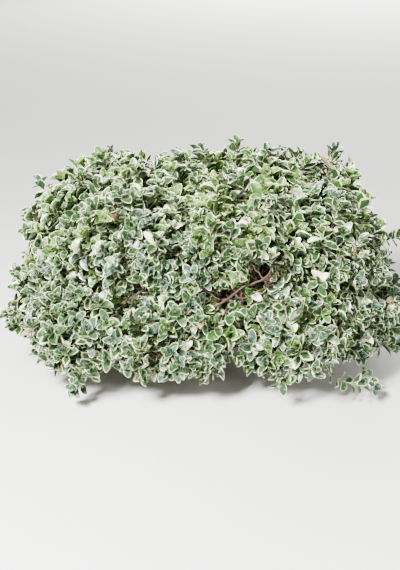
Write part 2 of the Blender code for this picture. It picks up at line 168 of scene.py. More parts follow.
@dataclass(frozen=True)
class LeafySurface:
    """How the leafy surface departs from the crown's outline: mounds, dips, gaps and a raised hem."""

    mound_height: float = 0.026
    mounds_per_metre: float = 7.0
    hem_height: float = 0.052
    hem_waves: float = 0.030
    back_hem_height: float = 0.030
    arches: tuple[Arch, ...] = (
        Arch(-0.500, 0.060, 0.100),
        Arch(-0.265, 0.052, 0.085),
        Arch(0.075, 0.062, 0.095),
        Arch(0.340, 0.060, 0.075),
    )
    dents: tuple[Dent, ...] = (
        Dent(Vector((-0.175, -0.397, 0.346)), 0.040, 0.045),
        Dent(Vector((-0.084, -0.385, 0.399)), 0.035, 0.030),
        Dent(Vector((0.329, -0.363, 0.383)), 0.040, 0.030),
        Dent(Vector((0.075, -0.320, 0.540)), 0.050, 0.050),
        Dent(Vector((0.120, -0.220, 0.585)), 0.050, 0.036),
        Dent(Vector((0.145, -0.100, 0.608)), 0.050, 0.034),
        Dent(Vector((0.372, -0.290, 0.500)), 0.045, 0.035),
        Dent(Vector((-0.136, -0.120, 0.605)), 0.060, 0.040),
        Dent(Vector((-0.150, 0.080, 0.610)), 0.085, 0.050),
        Dent(Vector((0.165, 0.100, 0.610)), 0.080, 0.042),
        Dent(Vector((-0.420, 0.020, 0.520)), 0.060, 0.035),
        Dent(Vector((-0.118, -0.250, 0.575)), 0.045, 0.034),
        Dent(Vector((-0.100, -0.350, 0.480)), 0.040, 0.030),
        Dent(Vector((0.140, 0.330, 0.480)), 0.060, 0.040),
        Dent(Vector((-0.300, 0.290, 0.450)), 0.055, 0.040),
        Dent(Vector((0.480, 0.120, 0.400)), 0.050, 0.035),
        Dent(Vector((-0.500, 0.060, 0.330)), 0.050, 0.035),
    )
    gaps: tuple[Hollow, ...] = (
        Hollow(Vector((0.056, -0.400, 0.318)), Vector((0.076, 0.105, 0.034))),
        Hollow(Vector((0.150, -0.390, 0.378)), Vector((0.044, 0.105, 0.048))),
        Hollow(Vector((-0.175, -0.397, 0.342)), Vector((0.036, 0.060, 0.020))),
        Hollow(Vector((-0.086, -0.388, 0.396)), Vector((0.020, 0.050, 0.026))),
        Hollow(Vector((0.329, -0.363, 0.383)), Vector((0.022, 0.055, 0.018))),
        Hollow(Vector((0.087, -0.315, 0.528)), Vector((0.024, 0.060, 0.022))),
        Hollow(Vector((0.346, -0.288, 0.505)), Vector((0.022, 0.055, 0.018))),
        Hollow(Vector((-0.020, -0.415, 0.190)), Vector((0.022, 0.055, 0.020))),
        Hollow(Vector((0.138, -0.415, 0.225)), Vector((0.018, 0.050, 0.024))),
    )

    def depth(self, point: Vector) -> float:
        """How far the leafy surface lies inside the outline, by its mounds and dips."""
        mound = self.mound_height * noise.noise(point * self.mounds_per_metre + Vector((3.1, 8.2, 4.7)))
        return mound + sum(dent.at(point) for dent in self.dents)

    def in_gap(self, point: Vector) -> bool:
        """True if the point lies in one of the gaps that show the boughs."""
        return any(gap.holds(point) for gap in self.gaps)

    def hem(self, point: Vector) -> float:
        """The height of the foliage's lower edge below a point."""
        front = min(max(-point.y / 0.3, 0), 1)
        wave = noise.noise(Vector((point.x * 7, point.y * 7, 2.3)))
        raised = self.hem_height + sum(arch.at(point.x) for arch in self.arches)
        height = self.back_hem_height + (raised - self.back_hem_height) * front + self.hem_waves * wave
        return max(height, 0.004)


@dataclass(frozen=True)
class TierPlan:
    """One tier of foliage masses, whose centres stand on an ellipse at one height."""

    name: str
    count: int
    height: float
    half_x: float
    half_y: float
    start: float

    def place(self, number: int) -> Vector:
        """Finds the plan position of one of the tier's masses.

        Args:
            number: the mass's number, from 0.

        Returns:
            The point at its share of the way round the ellipse, by length, counted from the front.
        """
        steps = 360
        turns = [2 * math.pi * i / steps - math.pi / 2 for i in range(steps + 1)]
        points = [Vector((self.half_x * math.cos(t), self.half_y * math.sin(t))) for t in turns]
        lengths = [(b - a).length for a, b in zip(points, points[1:])]
        wanted = ((self.start + number / self.count) % 1.0) * sum(lengths)
        for start, end, length in zip(points, points[1:], lengths):
            if wanted <= length:
                return start.lerp(end, wanted / length)
            wanted -= length
        return points[-1]


class Tier(Enum):
    """The three tiers of the crown."""

    SKIRT = TierPlan("skirt", 9, 0.165, 0.430, 0.285, -0.015)
    SHOULDER = TierPlan("shoulder", 8, 0.400, 0.395, 0.250, 0.045)
    TOP = TierPlan("top", 3, 0.490, 0.290, 0.045, 0.0)


@dataclass
class Limb:
    """A tapering limb along a path."""

    name: str
    points: list[Vector]
    radii: tuple[float, float]
    lead: list[Vector] = field(default_factory=list)

    def at(self, share: float) -> tuple[Vector, Vector, float]:
        """Finds a place along the limb.

        Args:
            share: the share of the limb's length, from 0 to 1.

        Returns:
            The point, the direction and the radius there.
        """
        place = share * (len(self.points) - 1)
        index = min(int(place), len(self.points) - 2)
        step = self.points[index + 1] - self.points[index]
        point = self.points[index] + step * (place - index)
        radius = self.radii[0] + (self.radii[1] - self.radii[0]) * share
        return point, step.normalized(), radius


@dataclass
class Cell:
    """The space that one mass of foliage keeps to."""

    tier: Tier
    name: str
    centre: Vector
    crown: CrownOutline
    surface: LeafySurface
    walls: list[tuple[Vector, Vector]] = field(default_factory=list)
    limb: Limb | None = None
    valley_depth: float = 0.012
    bulge_radius: float = 0.14
    largest: float = 0.6
    bisections: int = 11

    def __post_init__(self) -> None:
        """Sets the seeded chance of the limb's path and the mass's outward direction."""
        self.chance = random.Random(f"{SEED} {self.name}")
        self.outward = self.crown.outward(self.centre)

    def holds(self, point: Vector, beyond: float, apart: float) -> bool:
        """Tests a point against the cell.

        Args:
            point: a place in the row frame.
            beyond: how far outside the outline is still inside the cell.
            apart: how far the point has to be from the cell's walls.

        Returns:
            True if the cell holds the point.
        """
        if point.z < self.surface.hem(point) or self.surface.in_gap(point):
            return False
        if any((point - foot).dot(away) > -apart for foot, away in self.walls):
            return False
        offset = point - self.centre
        aside = (offset - self.outward * offset.dot(self.outward)).length
        valley = self.valley_depth * (aside / self.bulge_radius) ** 2
        return self.crown.past(point) + self.surface.depth(point) < beyond - valley

    def room(self, direction: Vector, beyond: float, apart: float) -> float:
        """How far the cell reaches from its centre in a direction."""
        near, far = 0.0, self.largest / 2
        for _ in range(self.bisections):
            middle = (near + far) / 2
            if self.holds(self.centre + direction * middle, beyond, apart):
                near = middle
            else:
                far = middle
        return near


@dataclass
class Framework:
    """The stump, the boughs and the foliage's cells."""

    crown: CrownOutline = field(default_factory=CrownOutline)
    surface: LeafySurface = field(default_factory=LeafySurface)
    gap_centre: Vector = field(default_factory=lambda: Vector((0.110, -0.350, 0.310)))
    centre_jitter: float = 0.012
    fork_heights: tuple[float, float] = (0.036, 0.050)
    fork_rise_deg: tuple[float, float] = (34, 52)
    fork_reach: float = 0.050
    stump_height: float = 0.062
    stump_lean: Vector = field(default_factory=lambda: Vector((0.004, -0.003, 0)))
    main_radii: tuple[float, float] = (0.0090, 0.0050)
    side_radii: tuple[float, float] = (0.0062, 0.0040)
    steps: int = 3
    bough_lead: float = 0.012
    wander: float = 0.006
    fork_shares: tuple[float, ...] = (0.30, 0.38, 0.46, 0.54, 0.62, 0.70)
    fork_angles_deg: tuple[float, float] = (42, 75)
    fork_clearance: float = 0.004
    fit_gap: float = 0.0003
    core_depth: float = 0.075
    stem_length: float = 0.030
    gap_neighbour: float = 0.20
    gap_pull: float = 2.0

    def __post_init__(self) -> None:
        """Lays out the cells and grows the boughs."""
        self.cells = self.lay_out_cells()
        self.main_boughs = self.grow_main_boughs()
        self.side_boughs = self.grow_side_boughs()

    def lay_out_cells(self) -> list[Cell]:
        """The cells of every tier, each walled off from the others halfway between their centres."""
        cells: list[Cell] = []
        jitter = random.Random(SEED)
        for tier in Tier:
            plan = tier.value
            for number in range(plan.count):
                place = plan.place(number)
                shift = Vector(jitter.uniform(-self.centre_jitter, self.centre_jitter) for _ in range(3))
                centre = Vector((place.x, place.y, plan.height)) + shift
                cells.append(Cell(tier, f"{plan.name}_{number + 1}", centre, self.crown, self.surface))
        for cell in cells:
            for other in cells:
                if other is not cell:
                    away = (other.centre - cell.centre).normalized()
                    cell.walls.append(((other.centre + cell.centre) / 2, away))
        return cells

    def path(self, start: Vector, way: Vector, end: Vector, end_way: Vector, chance: random.Random) -> list[Vector]:
        """Lays a limb's path, which leaves and arrives straight and wanders a little between.

        Args:
            start: where the limb starts.
            way: its direction there.
            end: where it ends.
            end_way: its direction there.
            chance: the seeded source of its wandering.

        Returns:
            The points of the path.
        """
        leave = start + way * self.bough_lead
        arrive = end - end_way * self.bough_lead
        pull = (arrive - leave).length * 0.38
        first, second = leave + way * pull, arrive - end_way * pull
        points = [start]
        for i in range(self.steps + 1):
            t = i / self.steps
            s = 1 - t
            point = s**3 * leave + 3 * s * s * t * first + 3 * s * t * t * second + t**3 * arrive
            if 0 < i < self.steps:
                point += Vector(chance.uniform(-self.wander, self.wander) for _ in range(3))
            points.append(point)
        points.append(end)
        return points

    def bough_tip(self, cell: Cell, start: Vector) -> tuple[Vector, Vector]:
        """The end of a cell's bough and its direction there."""
        inwards = (start - cell.centre).normalized()
        arrive = (cell.outward - inwards).normalized()
        from_gap = cell.centre - self.gap_centre
        if from_gap.length < self.gap_neighbour and cell.tier is Tier.SHOULDER:
            arrive = (arrive + self.gap_pull * from_gap.normalized()).normalized()
        return cell.centre - arrive * (self.core_depth + self.stem_length), arrive

    def grow_main_boughs(self) -> list[Limb]:
        """One bough from the stump to each shoulder cell."""
        boughs = []
        for number, cell in enumerate(c for c in self.cells if c.tier is Tier.SHOULDER):
            side = number % 2
            bearing = math.atan2(cell.centre.y, cell.centre.x)
            rise = math.radians(self.fork_rise_deg[side])
            flat = math.cos(rise)
            way = Vector((math.cos(bearing) * flat, math.sin(bearing) * flat, math.sin(rise)))
            root = self.stump_lean * (self.fork_heights[side] / self.stump_height)
            root.z = self.fork_heights[side]
            fork_end = root + way * self.fork_reach
            tip, arrive = self.bough_tip(cell, fork_end)
            points = self.path(fork_end + way * self.fit_gap, way, tip, arrive, cell.chance)
            boughs.append(Limb(f"bough_{cell.name}", points, self.main_radii, [root]))
            cell.limb = boughs[-1]
        return boughs

    def clears(self, limb: Limb, others: list[Limb]) -> bool:
        """True if no sample along the limb comes near another limb. Its first stretch isn't tested."""
        samples = [i / 20 for i in range(21)]
        for share in samples[4:]:
            point, _, radius = limb.at(share)
            for other in others:
                for place in samples:
                    near, _, near_radius = other.at(place)
                    if (point - near).length < radius + near_radius + self.fork_clearance:
                        return False
        return True

    def side_bough(self, cell: Cell, parent: Limb, share: float) -> Limb:
        """A bough to the cell that forks from its parent at this share."""
        fork, along, parent_radius = parent.at(share)
        aim = (cell.centre - fork).normalized()
        low, high = (math.radians(angle) for angle in self.fork_angles_deg)
        angle = min(max(aim.angle(along), low), high)
        away = (aim - along * aim.dot(along)).normalized()
        way = along * math.cos(angle) + away * math.sin(angle)
        wide = self.side_radii[0]
        reach = (parent_radius + wide * math.cos(angle) + self.fork_clearance) / math.sin(angle)
        stub_end = fork + way * reach
        tip, arrive = self.bough_tip(cell, stub_end)
        points = self.path(stub_end + way * self.fit_gap, way, tip, arrive, cell.chance)
        return Limb(f"bough_{cell.name}", points, self.side_radii, [fork])

    def grow_side_boughs(self) -> list[Limb]:
        """One bough to each skirt and top cell, from the nearest main bough that leaves a clear way."""

        def bearing_gap(a: Vector, b: Vector) -> float:
            """The angle between two points' bearings round the stump."""
            turn = math.atan2(a.y, a.x) - math.atan2(b.y, b.x)
            return abs((turn + math.pi) % (2 * math.pi) - math.pi)

        boughs: list[Limb] = []
        for cell in self.cells:
            if cell.tier is Tier.SHOULDER:
                continue
            nearest = sorted(self.main_boughs, key=lambda b: bearing_gap(b.points[-1], cell.centre))
            for parent, share in product(nearest[:3], self.fork_shares):
                limb = self.side_bough(cell, parent, share)
                if self.clears(limb, self.main_boughs + boughs):
                    break
            boughs.append(limb)
            cell.limb = limb
        return boughs


# Finishes


def plain_material(name: str, colour: Colour, roughness: float, coat: float = 0.0) -> bpy.types.Material:
    """Makes a plain Principled material.

    Args:
        name: the material's name.
        colour: its linear base colour.
        roughness: its roughness.
        coat: the weight of its waxy coat.

    Returns:
        The material.
    """
    made = bpy.data.materials.new(name)
    made.use_nodes = True
    shader = made.node_tree.nodes["Principled BSDF"]
    shader.inputs["Base Color"].default_value = (*colour, 1)
    shader.inputs["Roughness"].default_value = roughness
    shader.inputs["Coat Weight"].default_value = coat
    shader.inputs["Coat Roughness"].default_value = 0.35
    return made


@dataclass(frozen=True)
class LeafFinish:
    """The colours of one tint of leaf: its green centre, its grey-green flecks and its margin."""

    centre: Colour
    fleck: Colour
    margin: Colour
    roughness: float = 0.32
    coat: float = 0.0

    def materials(self, name: str) -> dict[str, bpy.types.Material]:
        """The three materials of this tint, by the name of their place on the leaf."""
        places = {"Centre": self.centre, "Fleck": self.fleck, "Margin": self.margin}
        return {
            place: plain_material(f"leaf_{name}_{place.lower()}", colour, self.roughness, self.coat)
            for place, colour in places.items()
        }


class Tint(Enum):
    """The tints of leaf that sprays are dealt."""

    # This tint is for older and inner leaves: their duller green, with painted shade in the margin and flecks, which
    # are much darker than those of the lit tints.
    DEEP = LeafFinish((0.017, 0.048, 0.012), (0.042, 0.084, 0.028), (0.44, 0.48, 0.23))
    MID = LeafFinish((0.016, 0.044, 0.011), (0.068, 0.134, 0.051), (0.87, 0.95, 0.58))
    GREY = LeafFinish((0.025, 0.060, 0.031), (0.107, 0.178, 0.105), (0.89, 0.95, 0.69))
    BRIGHT = LeafFinish((0.031, 0.086, 0.012), (0.091, 0.182, 0.043), (0.87, 0.95, 0.50))
    YOUNG = LeafFinish((0.079, 0.149, 0.029), (0.176, 0.270, 0.081), (0.87, 0.94, 0.46))
    FROSTED = LeafFinish((0.270, 0.380, 0.200), (0.760, 0.840, 0.550), (0.88, 0.95, 0.62))
    CREAM = LeafFinish((0.820, 0.840, 0.520), (0.600, 0.710, 0.380), (0.90, 0.91, 0.62))
    DRY = LeafFinish((0.250, 0.180, 0.080), (0.330, 0.250, 0.125), (0.47, 0.40, 0.24), roughness=0.7)


@dataclass(frozen=True)
class BarkFinish:
    """Reddish-brown bark, darker in its furrows and paler on its ridges."""

    furrow: Colour = (0.070, 0.028, 0.018)
    ridge: Colour = (0.340, 0.150, 0.090)
    bloom: Colour = (0.330, 0.270, 0.200)
    roughness: float = 0.82

    def material(self) -> bpy.types.Material:
        """Builds the bark's material from the skin's relief and a fine grain.

        Returns:
            The material.
        """
        made = bpy.data.materials.new("bark")
        made.use_nodes = True
        nodes, links = made.node_tree.nodes, made.node_tree.links
        shader = nodes["Principled BSDF"]
        shader.inputs["Roughness"].default_value = self.roughness
        relief = nodes.new("ShaderNodeAttribute")
        relief.attribute_name = "relief"
        ramp = nodes.new("ShaderNodeValToRGB")
        ramp.color_ramp.elements[0].color = (*self.furrow, 1)
        ramp.color_ramp.elements[1].color = (*self.ridge, 1)
        ramp.color_ramp.elements[0].position = 0.25
        ramp.color_ramp.elements[1].position = 0.80
        place = nodes.new("ShaderNodeTexCoord")
        patches = nodes.new("ShaderNodeTexNoise")
        patches.inputs["Scale"].default_value = 38
        patches.inputs["Detail"].default_value = 3
        grain = nodes.new("ShaderNodeTexNoise")
        grain.inputs["Scale"].default_value = 900
        grain.inputs["Detail"].default_value = 4
        patch_share = nodes.new("ShaderNodeMapRange")
        patch_share.inputs["From Min"].default_value = 0.52
        patch_share.inputs["From Max"].default_value = 0.68
        patch_share.inputs["To Max"].default_value = 0.6
        blend = nodes.new("ShaderNodeMix")
        blend.data_type = "RGBA"
        blend.inputs["B"].default_value = (*self.bloom, 1)
        bump = nodes.new("ShaderNodeBump")
        bump.inputs["Strength"].default_value = 0.5
        bump.inputs["Distance"].default_value = 0.0006
        links.new(relief.outputs["Fac"], ramp.inputs["Fac"])
        links.new(place.outputs["Object"], patches.inputs["Vector"])
        links.new(place.outputs["Object"], grain.inputs["Vector"])
        links.new(patches.outputs["Fac"], patch_share.inputs["Value"])
        links.new(patch_share.outputs["Result"], blend.inputs["Factor"])
        links.new(ramp.outputs["Color"], blend.inputs["A"])
        links.new(blend.outputs["Result"], shader.inputs["Base Color"])
        links.new(grain.outputs["Fac"], bump.inputs["Height"])
        links.new(bump.outputs["Normal"], shader.inputs["Normal"])
        return made


# Geometry Nodes


class NodeRecipe:
    """A Geometry Nodes tree that is built in code and run on a plain mesh."""

    def __init__(self, name: str) -> None:
        """Starts an empty tree with one geometry input and output."""
        self.tree = bpy.data.node_groups.new(name, "GeometryNodeTree")
        self.inputs: dict[str, str] = {}
        self.add_input("Geometry", "NodeSocketGeometry")
        self.tree.interface.new_socket(name="Geometry", in_out="OUTPUT", socket_type="NodeSocketGeometry")
        self.entry = self.tree.nodes.new("NodeGroupInput")
        self.exit = self.tree.nodes.new("NodeGroupOutput")

    def add_input(self, name: str, kind: str, value: float | int | None = None) -> None:
        """Adds a named input.

        Args:
            name: the input's name.
            kind: its socket type.
            value: its value unless a run sets another.
        """
        item = self.tree.interface.new_socket(name=name, in_out="INPUT", socket_type=kind)
        if value is not None:
            item.default_value = value
        self.inputs[name] = item.identifier

    def node(self, kind: str, **settings: object) -> bpy.types.Node:
        """Adds a node and gives it its settings."""
        made = self.tree.nodes.new(kind)
        for key, value in settings.items():
            setattr(made, key, value)
        return made

    def link(self, source: bpy.types.NodeSocket, target: bpy.types.NodeSocket) -> None:
        """Joins an output socket to an input socket."""
        self.tree.links.new(source, target)

    def attribute(self, name: str, kind: str) -> bpy.types.NodeSocket:
        """The output of a node that reads a named attribute."""
        reader = self.node("GeometryNodeInputNamedAttribute", data_type=kind)
        reader.inputs["Name"].default_value = name
        return reader.outputs["Attribute"]

    def run(self, name: str, source: bpy.types.Mesh, values: dict[str, object]) -> bpy.types.Object:
        """Runs the tree on a mesh and keeps the result as a plain mesh.

        Args:
            name: the name of the object that holds the result.
            source: the mesh that the tree starts from.
            values: the inputs that this run sets, by name.

        Returns:
            An object with no modifier, whose mesh is the result.
        """
        made = new_object(name, source)
        grow = made.modifiers.new("grow", "NODES")
        grow.node_group = self.tree
        for key, value in values.items():
            grow[self.inputs[key]] = value
        graph = bpy.context.evaluated_depsgraph_get()
        result = bpy.data.meshes.new_from_object(made.evaluated_get(graph))
        made.modifiers.clear()
        made.data = result
        result.name = name
        for attribute in [a.name for a in result.attributes if a.name in ("turn", "size", "form", "zone")]:
            result.attributes.remove(result.attributes[attribute])
        return made


class LeafRecipe(NodeRecipe):
    """Sets one of the leaf shapes on each point and paints its centre, flecks and margin."""

    shape_names: tuple[str, ...] = ("Leaf 1", "Leaf 2", "Leaf 3", "Leaf 4", "Shaded Leaf")

    def __init__(self) -> None:
        """Builds the tree."""
        super().__init__("leaves_on_shoots")
        for name in self.shape_names:
            self.add_input(name, "NodeSocketObject")
        self.add_input("Leaf Size", "NodeSocketFloat", 1.0)
        self.add_input("Size Spread", "NodeSocketFloat", 0.10)
        self.add_input("Seed", "NodeSocketInt", SEED)
        for place in ("Centre", "Fleck", "Margin"):
            self.add_input(place, "NodeSocketMaterial")
        # The join takes its newest link first, so the last shape is linked first.
        forms = self.node("GeometryNodeJoinGeometry")
        for name in reversed(self.shape_names):
            shape = self.node("GeometryNodeObjectInfo")
            shape.inputs["As Instance"].default_value = True
            self.link(self.entry.outputs[name], shape.inputs["Object"])
            self.link(shape.outputs["Geometry"], forms.inputs["Geometry"])
        low = self.node("ShaderNodeMath", operation="SUBTRACT")
        low.inputs[0].default_value = 1.0
        high = self.node("ShaderNodeMath", operation="ADD")
        high.inputs[0].default_value = 1.0
        self.link(self.entry.outputs["Size Spread"], low.inputs[1])
        self.link(self.entry.outputs["Size Spread"], high.inputs[1])
        chance = self.node("FunctionNodeRandomValue", data_type="FLOAT")
        sockets = {s.identifier: s for s in chance.inputs}
        self.link(low.outputs[0], sockets["Min_001"])
        self.link(high.outputs[0], sockets["Max_001"])
        self.link(self.entry.outputs["Seed"], chance.inputs["Seed"])
        chance_out = next(s for s in chance.outputs if s.identifier == "Value_001")
        size = self.node("ShaderNodeMath", operation="MULTIPLY")
        whole = self.node("ShaderNodeMath", operation="MULTIPLY")
        self.link(self.attribute("size", "FLOAT"), size.inputs[0])
        self.link(chance_out, size.inputs[1])
        self.link(size.outputs[0], whole.inputs[0])
        self.link(self.entry.outputs["Leaf Size"], whole.inputs[1])
        turn = self.node("FunctionNodeEulerToRotation")
        self.link(self.attribute("turn", "FLOAT_VECTOR"), turn.inputs[0])
        place = self.node("GeometryNodeInstanceOnPoints")
        place.inputs["Pick Instance"].default_value = True
        self.link(self.entry.outputs["Geometry"], place.inputs["Points"])
        self.link(forms.outputs[0], place.inputs["Instance"])
        self.link(self.attribute("form", "INT"), place.inputs["Instance Index"])
        self.link(turn.outputs[0], place.inputs["Rotation"])
        self.link(whole.outputs[0], place.inputs["Scale"])
        real = self.node("GeometryNodeRealizeInstances")
        self.link(place.outputs[0], real.inputs[0])
        last = real.outputs[0]
        for zone, name in enumerate(("Centre", "Fleck", "Margin")):
            chosen = self.node("FunctionNodeCompare", data_type="INT", operation="EQUAL")
            sides = {s.identifier: s for s in chosen.inputs}
            self.link(self.attribute("zone", "INT"), sides["A_INT"])
            sides["B_INT"].default_value = zone
            paint = self.node("GeometryNodeSetMaterial")
            self.link(last, paint.inputs["Geometry"])
            self.link(chosen.outputs[0], paint.inputs["Selection"])
            self.link(self.entry.outputs[name], paint.inputs["Material"])
            last = paint.outputs[0]
        self.link(last, self.exit.inputs[0])


class TwigRecipe(NodeRecipe):
    """Turns chains of edges into round twigs whose radius follows an attribute."""

    def __init__(self) -> None:
        """Builds the tree."""
        super().__init__("twigs_along_paths")
        self.add_input("Sides", "NodeSocketInt", 3)
        self.add_input("Thickness", "NodeSocketFloat", 1.0)
        self.add_input("Finish", "NodeSocketMaterial")
        curve = self.node("GeometryNodeMeshToCurve")
        radius = self.node("GeometryNodeSetCurveRadius")
        ring = self.node("GeometryNodeCurvePrimitiveCircle")
        ring.inputs["Radius"].default_value = 1.0
        tube = self.node("GeometryNodeCurveToMesh")
        tube.inputs["Fill Caps"].default_value = True
        scale = self.node("ShaderNodeMath", operation="MULTIPLY")
        self.link(self.entry.outputs["Geometry"], curve.inputs[0])
        self.link(self.attribute("radius", "FLOAT"), scale.inputs[0])
        self.link(self.entry.outputs["Thickness"], scale.inputs[1])
        self.link(curve.outputs[0], radius.inputs["Curve"])
        self.link(scale.outputs[0], radius.inputs["Radius"])
        self.link(self.entry.outputs["Sides"], ring.inputs["Resolution"])
        self.link(radius.outputs[0], tube.inputs["Curve"])
        self.link(ring.outputs[0], tube.inputs["Profile Curve"])
        if "Scale" in tube.inputs:
            self.link(scale.outputs[0], tube.inputs["Scale"])
        real = self.node("GeometryNodeRealizeInstances")
        paint = self.node("GeometryNodeSetMaterial")
        self.link(tube.outputs[0], real.inputs[0])
        self.link(real.outputs[0], paint.inputs["Geometry"])
        self.link(self.entry.outputs["Finish"], paint.inputs["Material"])
        self.link(paint.outputs[0], self.exit.inputs[0])


# Mesh helpers


def new_object(name: str, mesh: bpy.types.Mesh) -> bpy.types.Object:
    """Links a new object with this mesh into the scene."""
    made = bpy.data.objects.new(name, mesh)
    bpy.context.scene.collection.objects.link(made)
    return made


@dataclass
class TwigPaths:
    """Chains of points with a radius at each, which become twigs."""

    points: list[Vector] = field(default_factory=list)
    radii: list[float] = field(default_factory=list)
    edges: list[tuple[int, int]] = field(default_factory=list)

    def add(self, points: list[Vector], start: float, end: float) -> None:
        """Adds one twig.

        Args:
            points: its path.
            start: its radius where it starts.
            end: its radius at its tip.
        """
        first = len(self.points)
        last = len(points) - 1
        self.points += points
        self.radii += [start + (end - start) * i / last for i in range(last + 1)]
        self.edges += [(first + i, first + i + 1) for i in range(last)]

    def mesh(self, name: str) -> bpy.types.Mesh:
        """The chains as a mesh of edges with a radius attribute."""
        made = bpy.data.meshes.new(name)
        made.from_pydata(self.points, self.edges, [])
        made.attributes.new("radius", "FLOAT", "POINT").data.foreach_set("value", self.radii)
        return made


@dataclass
class LeafPlaces:
    """Where the leaves of one tint go."""

    points: list[Vector] = field(default_factory=list)
    turns: list[float] = field(default_factory=list)
    sizes: list[float] = field(default_factory=list)
    forms: list[int] = field(default_factory=list)

    def add(self, point: Vector, turn: Matrix, size: float, form: int) -> None:
        """Adds one leaf: its root, its turn, its length and which of the shapes it has."""
        self.points.append(point)
        self.turns += turn.to_euler()
        self.sizes.append(size)
        self.forms.append(form)

    def part(self, start: int, stop: int) -> "LeafPlaces":
        """The places from one number up to another."""
        return LeafPlaces(
            self.points[start:stop], self.turns[3 * start : 3 * stop], self.sizes[start:stop], self.forms[start:stop]
        )

    def mesh(self, name: str) -> bpy.types.Mesh:
        """The places as a mesh of loose points with attributes."""
        made = bpy.data.meshes.new(name)
        made.from_pydata(self.points, [], [])
        made.attributes.new("turn", "FLOAT_VECTOR", "POINT").data.foreach_set("vector", self.turns)
        made.attributes.new("size", "FLOAT", "POINT").data.foreach_set("value", self.sizes)
        made.attributes.new("form", "INT", "POINT").data.foreach_set("value", self.forms)
        return made


def through(points: list[Vector], steps: int) -> list[Vector]:
    """Draws a smooth line through points.

    Args:
        points: the points that the line passes.
        steps: how many steps it takes between two of them.

    Returns:
        The points of the line.
    """
    padded = [2 * points[0] - points[1], *points, 2 * points[-1] - points[-2]]
    line = []
    for a, b, c, d in zip(padded, padded[1:], padded[2:], padded[3:]):
        for i in range(steps):
            t = i / steps
            line.append(
                0.5 * (2 * b + (c - a) * t + (2 * a - 5 * b + 4 * c - d) * t**2 + (3 * b - a - 3 * c + d) * t**3)
            )
    line.append(points[-1])
    return line


def bend(start: Vector, way: Vector, end: Vector, end_way: Vector, steps: int) -> list[Vector]:
    """Draws one smooth bend.

    Args:
        start: where it starts.
        way: its direction there.
        end: where it ends.
        end_way: its direction there.
        steps: how many steps it takes.

    Returns:
        The points of the bend.
    """
    pull = (end - start).length * 0.36
    first, second = start + way * pull, end - end_way * pull
    line = []
    for i in range(steps + 1):
        t = i / steps
        s = 1 - t
        line.append(s**3 * start + 3 * s * s * t * first + 3 * s * t * t * second + t**3 * end)
    return line


def spread_directions(count: int, turn: float) -> Iterator[Vector]:
    """Evenly spread directions on a sphere."""
    golden = math.pi * (3 - math.sqrt(5))
    for i in range(count):
        z = 1 - 2 * (i + 0.5) / count
        flat = math.sqrt(1 - z * z)
        angle = golden * i + turn
        yield Vector((flat * math.cos(angle), flat * math.sin(angle), z))


def any_across(way: Vector) -> Vector:
    """A direction square to this one."""
    start = Vector((1, 0, 0)) if abs(way.x) < 0.7 else Vector((0, 1, 0))
    return (start - way * start.dot(way)).normalized()


# The plant's pieces


@dataclass(frozen=True)
class LeafShape:
    """One shape of leaf along +Y, one unit long: broadly oval, with a pale margin round its centre."""

    name: str
    fold: float
    curl: float
    twist: float
    breadth: float = 1.0
    margin: float = 0.028
    flecks: tuple[int, ...] = ()
    rim_places: tuple[float, ...] = (0.08, 0.25, 0.50, 0.75, 0.93)
    rim_widths: tuple[float, ...] = (0.118, 0.248, 0.298, 0.252, 0.142)
    inner_places: tuple[float, ...] = (0.24, 0.50, 0.75, 0.92)
    midrib: tuple[float, ...] = (0.02, 0.36, 0.62, 0.975)
    ragged: tuple[float, ...] = (0.004, 0.014, -0.020, 0.006, -0.014, 0.010, 0.012, -0.012)

    def height(self, across: float, along: float) -> float:
        """How high the blade lies over its root at a place."""
        cup = self.fold * abs(across) ** 1.4 * 3.0
        roll = self.twist * across * along
        return cup + roll - self.curl * (along - 0.2) ** 2

    def half_width(self, along: float) -> float:
        """Half the blade's width at a place, straight between the rim's points."""
        places = (0.0, *self.rim_places, 1.0)
        widths = (0.0, *self.rim_widths, 0.0)
        for low, high, start, end in zip(places, places[1:], widths, widths[1:]):
            if along <= high:
                return self.breadth * (start + (end - start) * (along - low) / (high - low))
        return 0.0

    def between(self, near: list[bmesh.types.BMVert], far: list[bmesh.types.BMVert]) -> Iterator[tuple]:
        """Fills the strip between two chains of points with triangles.

        Args:
            near: the chain that is nearer to the midrib, from foot to tip.
            far: the other chain.

        Yields:
            The corners of each triangle, all wound the same way.
        """
        a = b = 0
        while a < len(near) - 1 or b < len(far) - 1:
            step_far = a == len(near) - 1 or (b < len(far) - 1 and far[b + 1].co.y <= near[a + 1].co.y)
            corners = (near[a], far[b], far[b + 1]) if step_far else (near[a], far[b], near[a + 1])
            a, b = (a, b + 1) if step_far else (a + 1, b)
            if len(set(corners)) == 3:
                yield corners

    def mesh(self) -> bpy.types.Mesh:
        """Builds the blade.

        Returns:
            A mesh whose faces carry the zone that they belong to.
        """
        bm = bmesh.new()
        zone = bm.faces.layers.int.new("zone")

        def point(across: float, along: float) -> bmesh.types.BMVert:
            """Adds one point of the blade."""
            return bm.verts.new((across, along, self.height(across, along)))

        rib = [point(0, along) for along in self.midrib]
        foot, tip = point(0, 0), point(0, 1)
        number = 0
        for side in (-1, 1):
            shift = self.ragged[:4] if side < 0 else self.ragged[4:]
            rim = [foot, *(point(side * self.half_width(p), p) for p in self.rim_places), tip]
            wide = [self.half_width(p) - max(self.margin - s, 0.006) for p, s in zip(self.inner_places, shift)]
            inner = [rib[0], *(point(side * w, p) for w, p in zip(wide, self.inner_places)), rib[-1]]
            for is_margin, near, far in ((False, rib, inner), (True, inner, rim)):
                for corners in self.between(near, far):
                    face = bm.faces.new(corners if side < 0 else corners[::-1])
                    face.smooth = True
                    face[zone] = 2 if is_margin else int(number in self.flecks)
                    number += 1
        bm.normal_update()
        if sum(face.normal.z for face in bm.faces) < 0:
            bmesh.ops.reverse_faces(bm, faces=bm.faces)
        made = bpy.data.meshes.new(self.name)
        bm.to_mesh(made)
        bm.free()
        return made


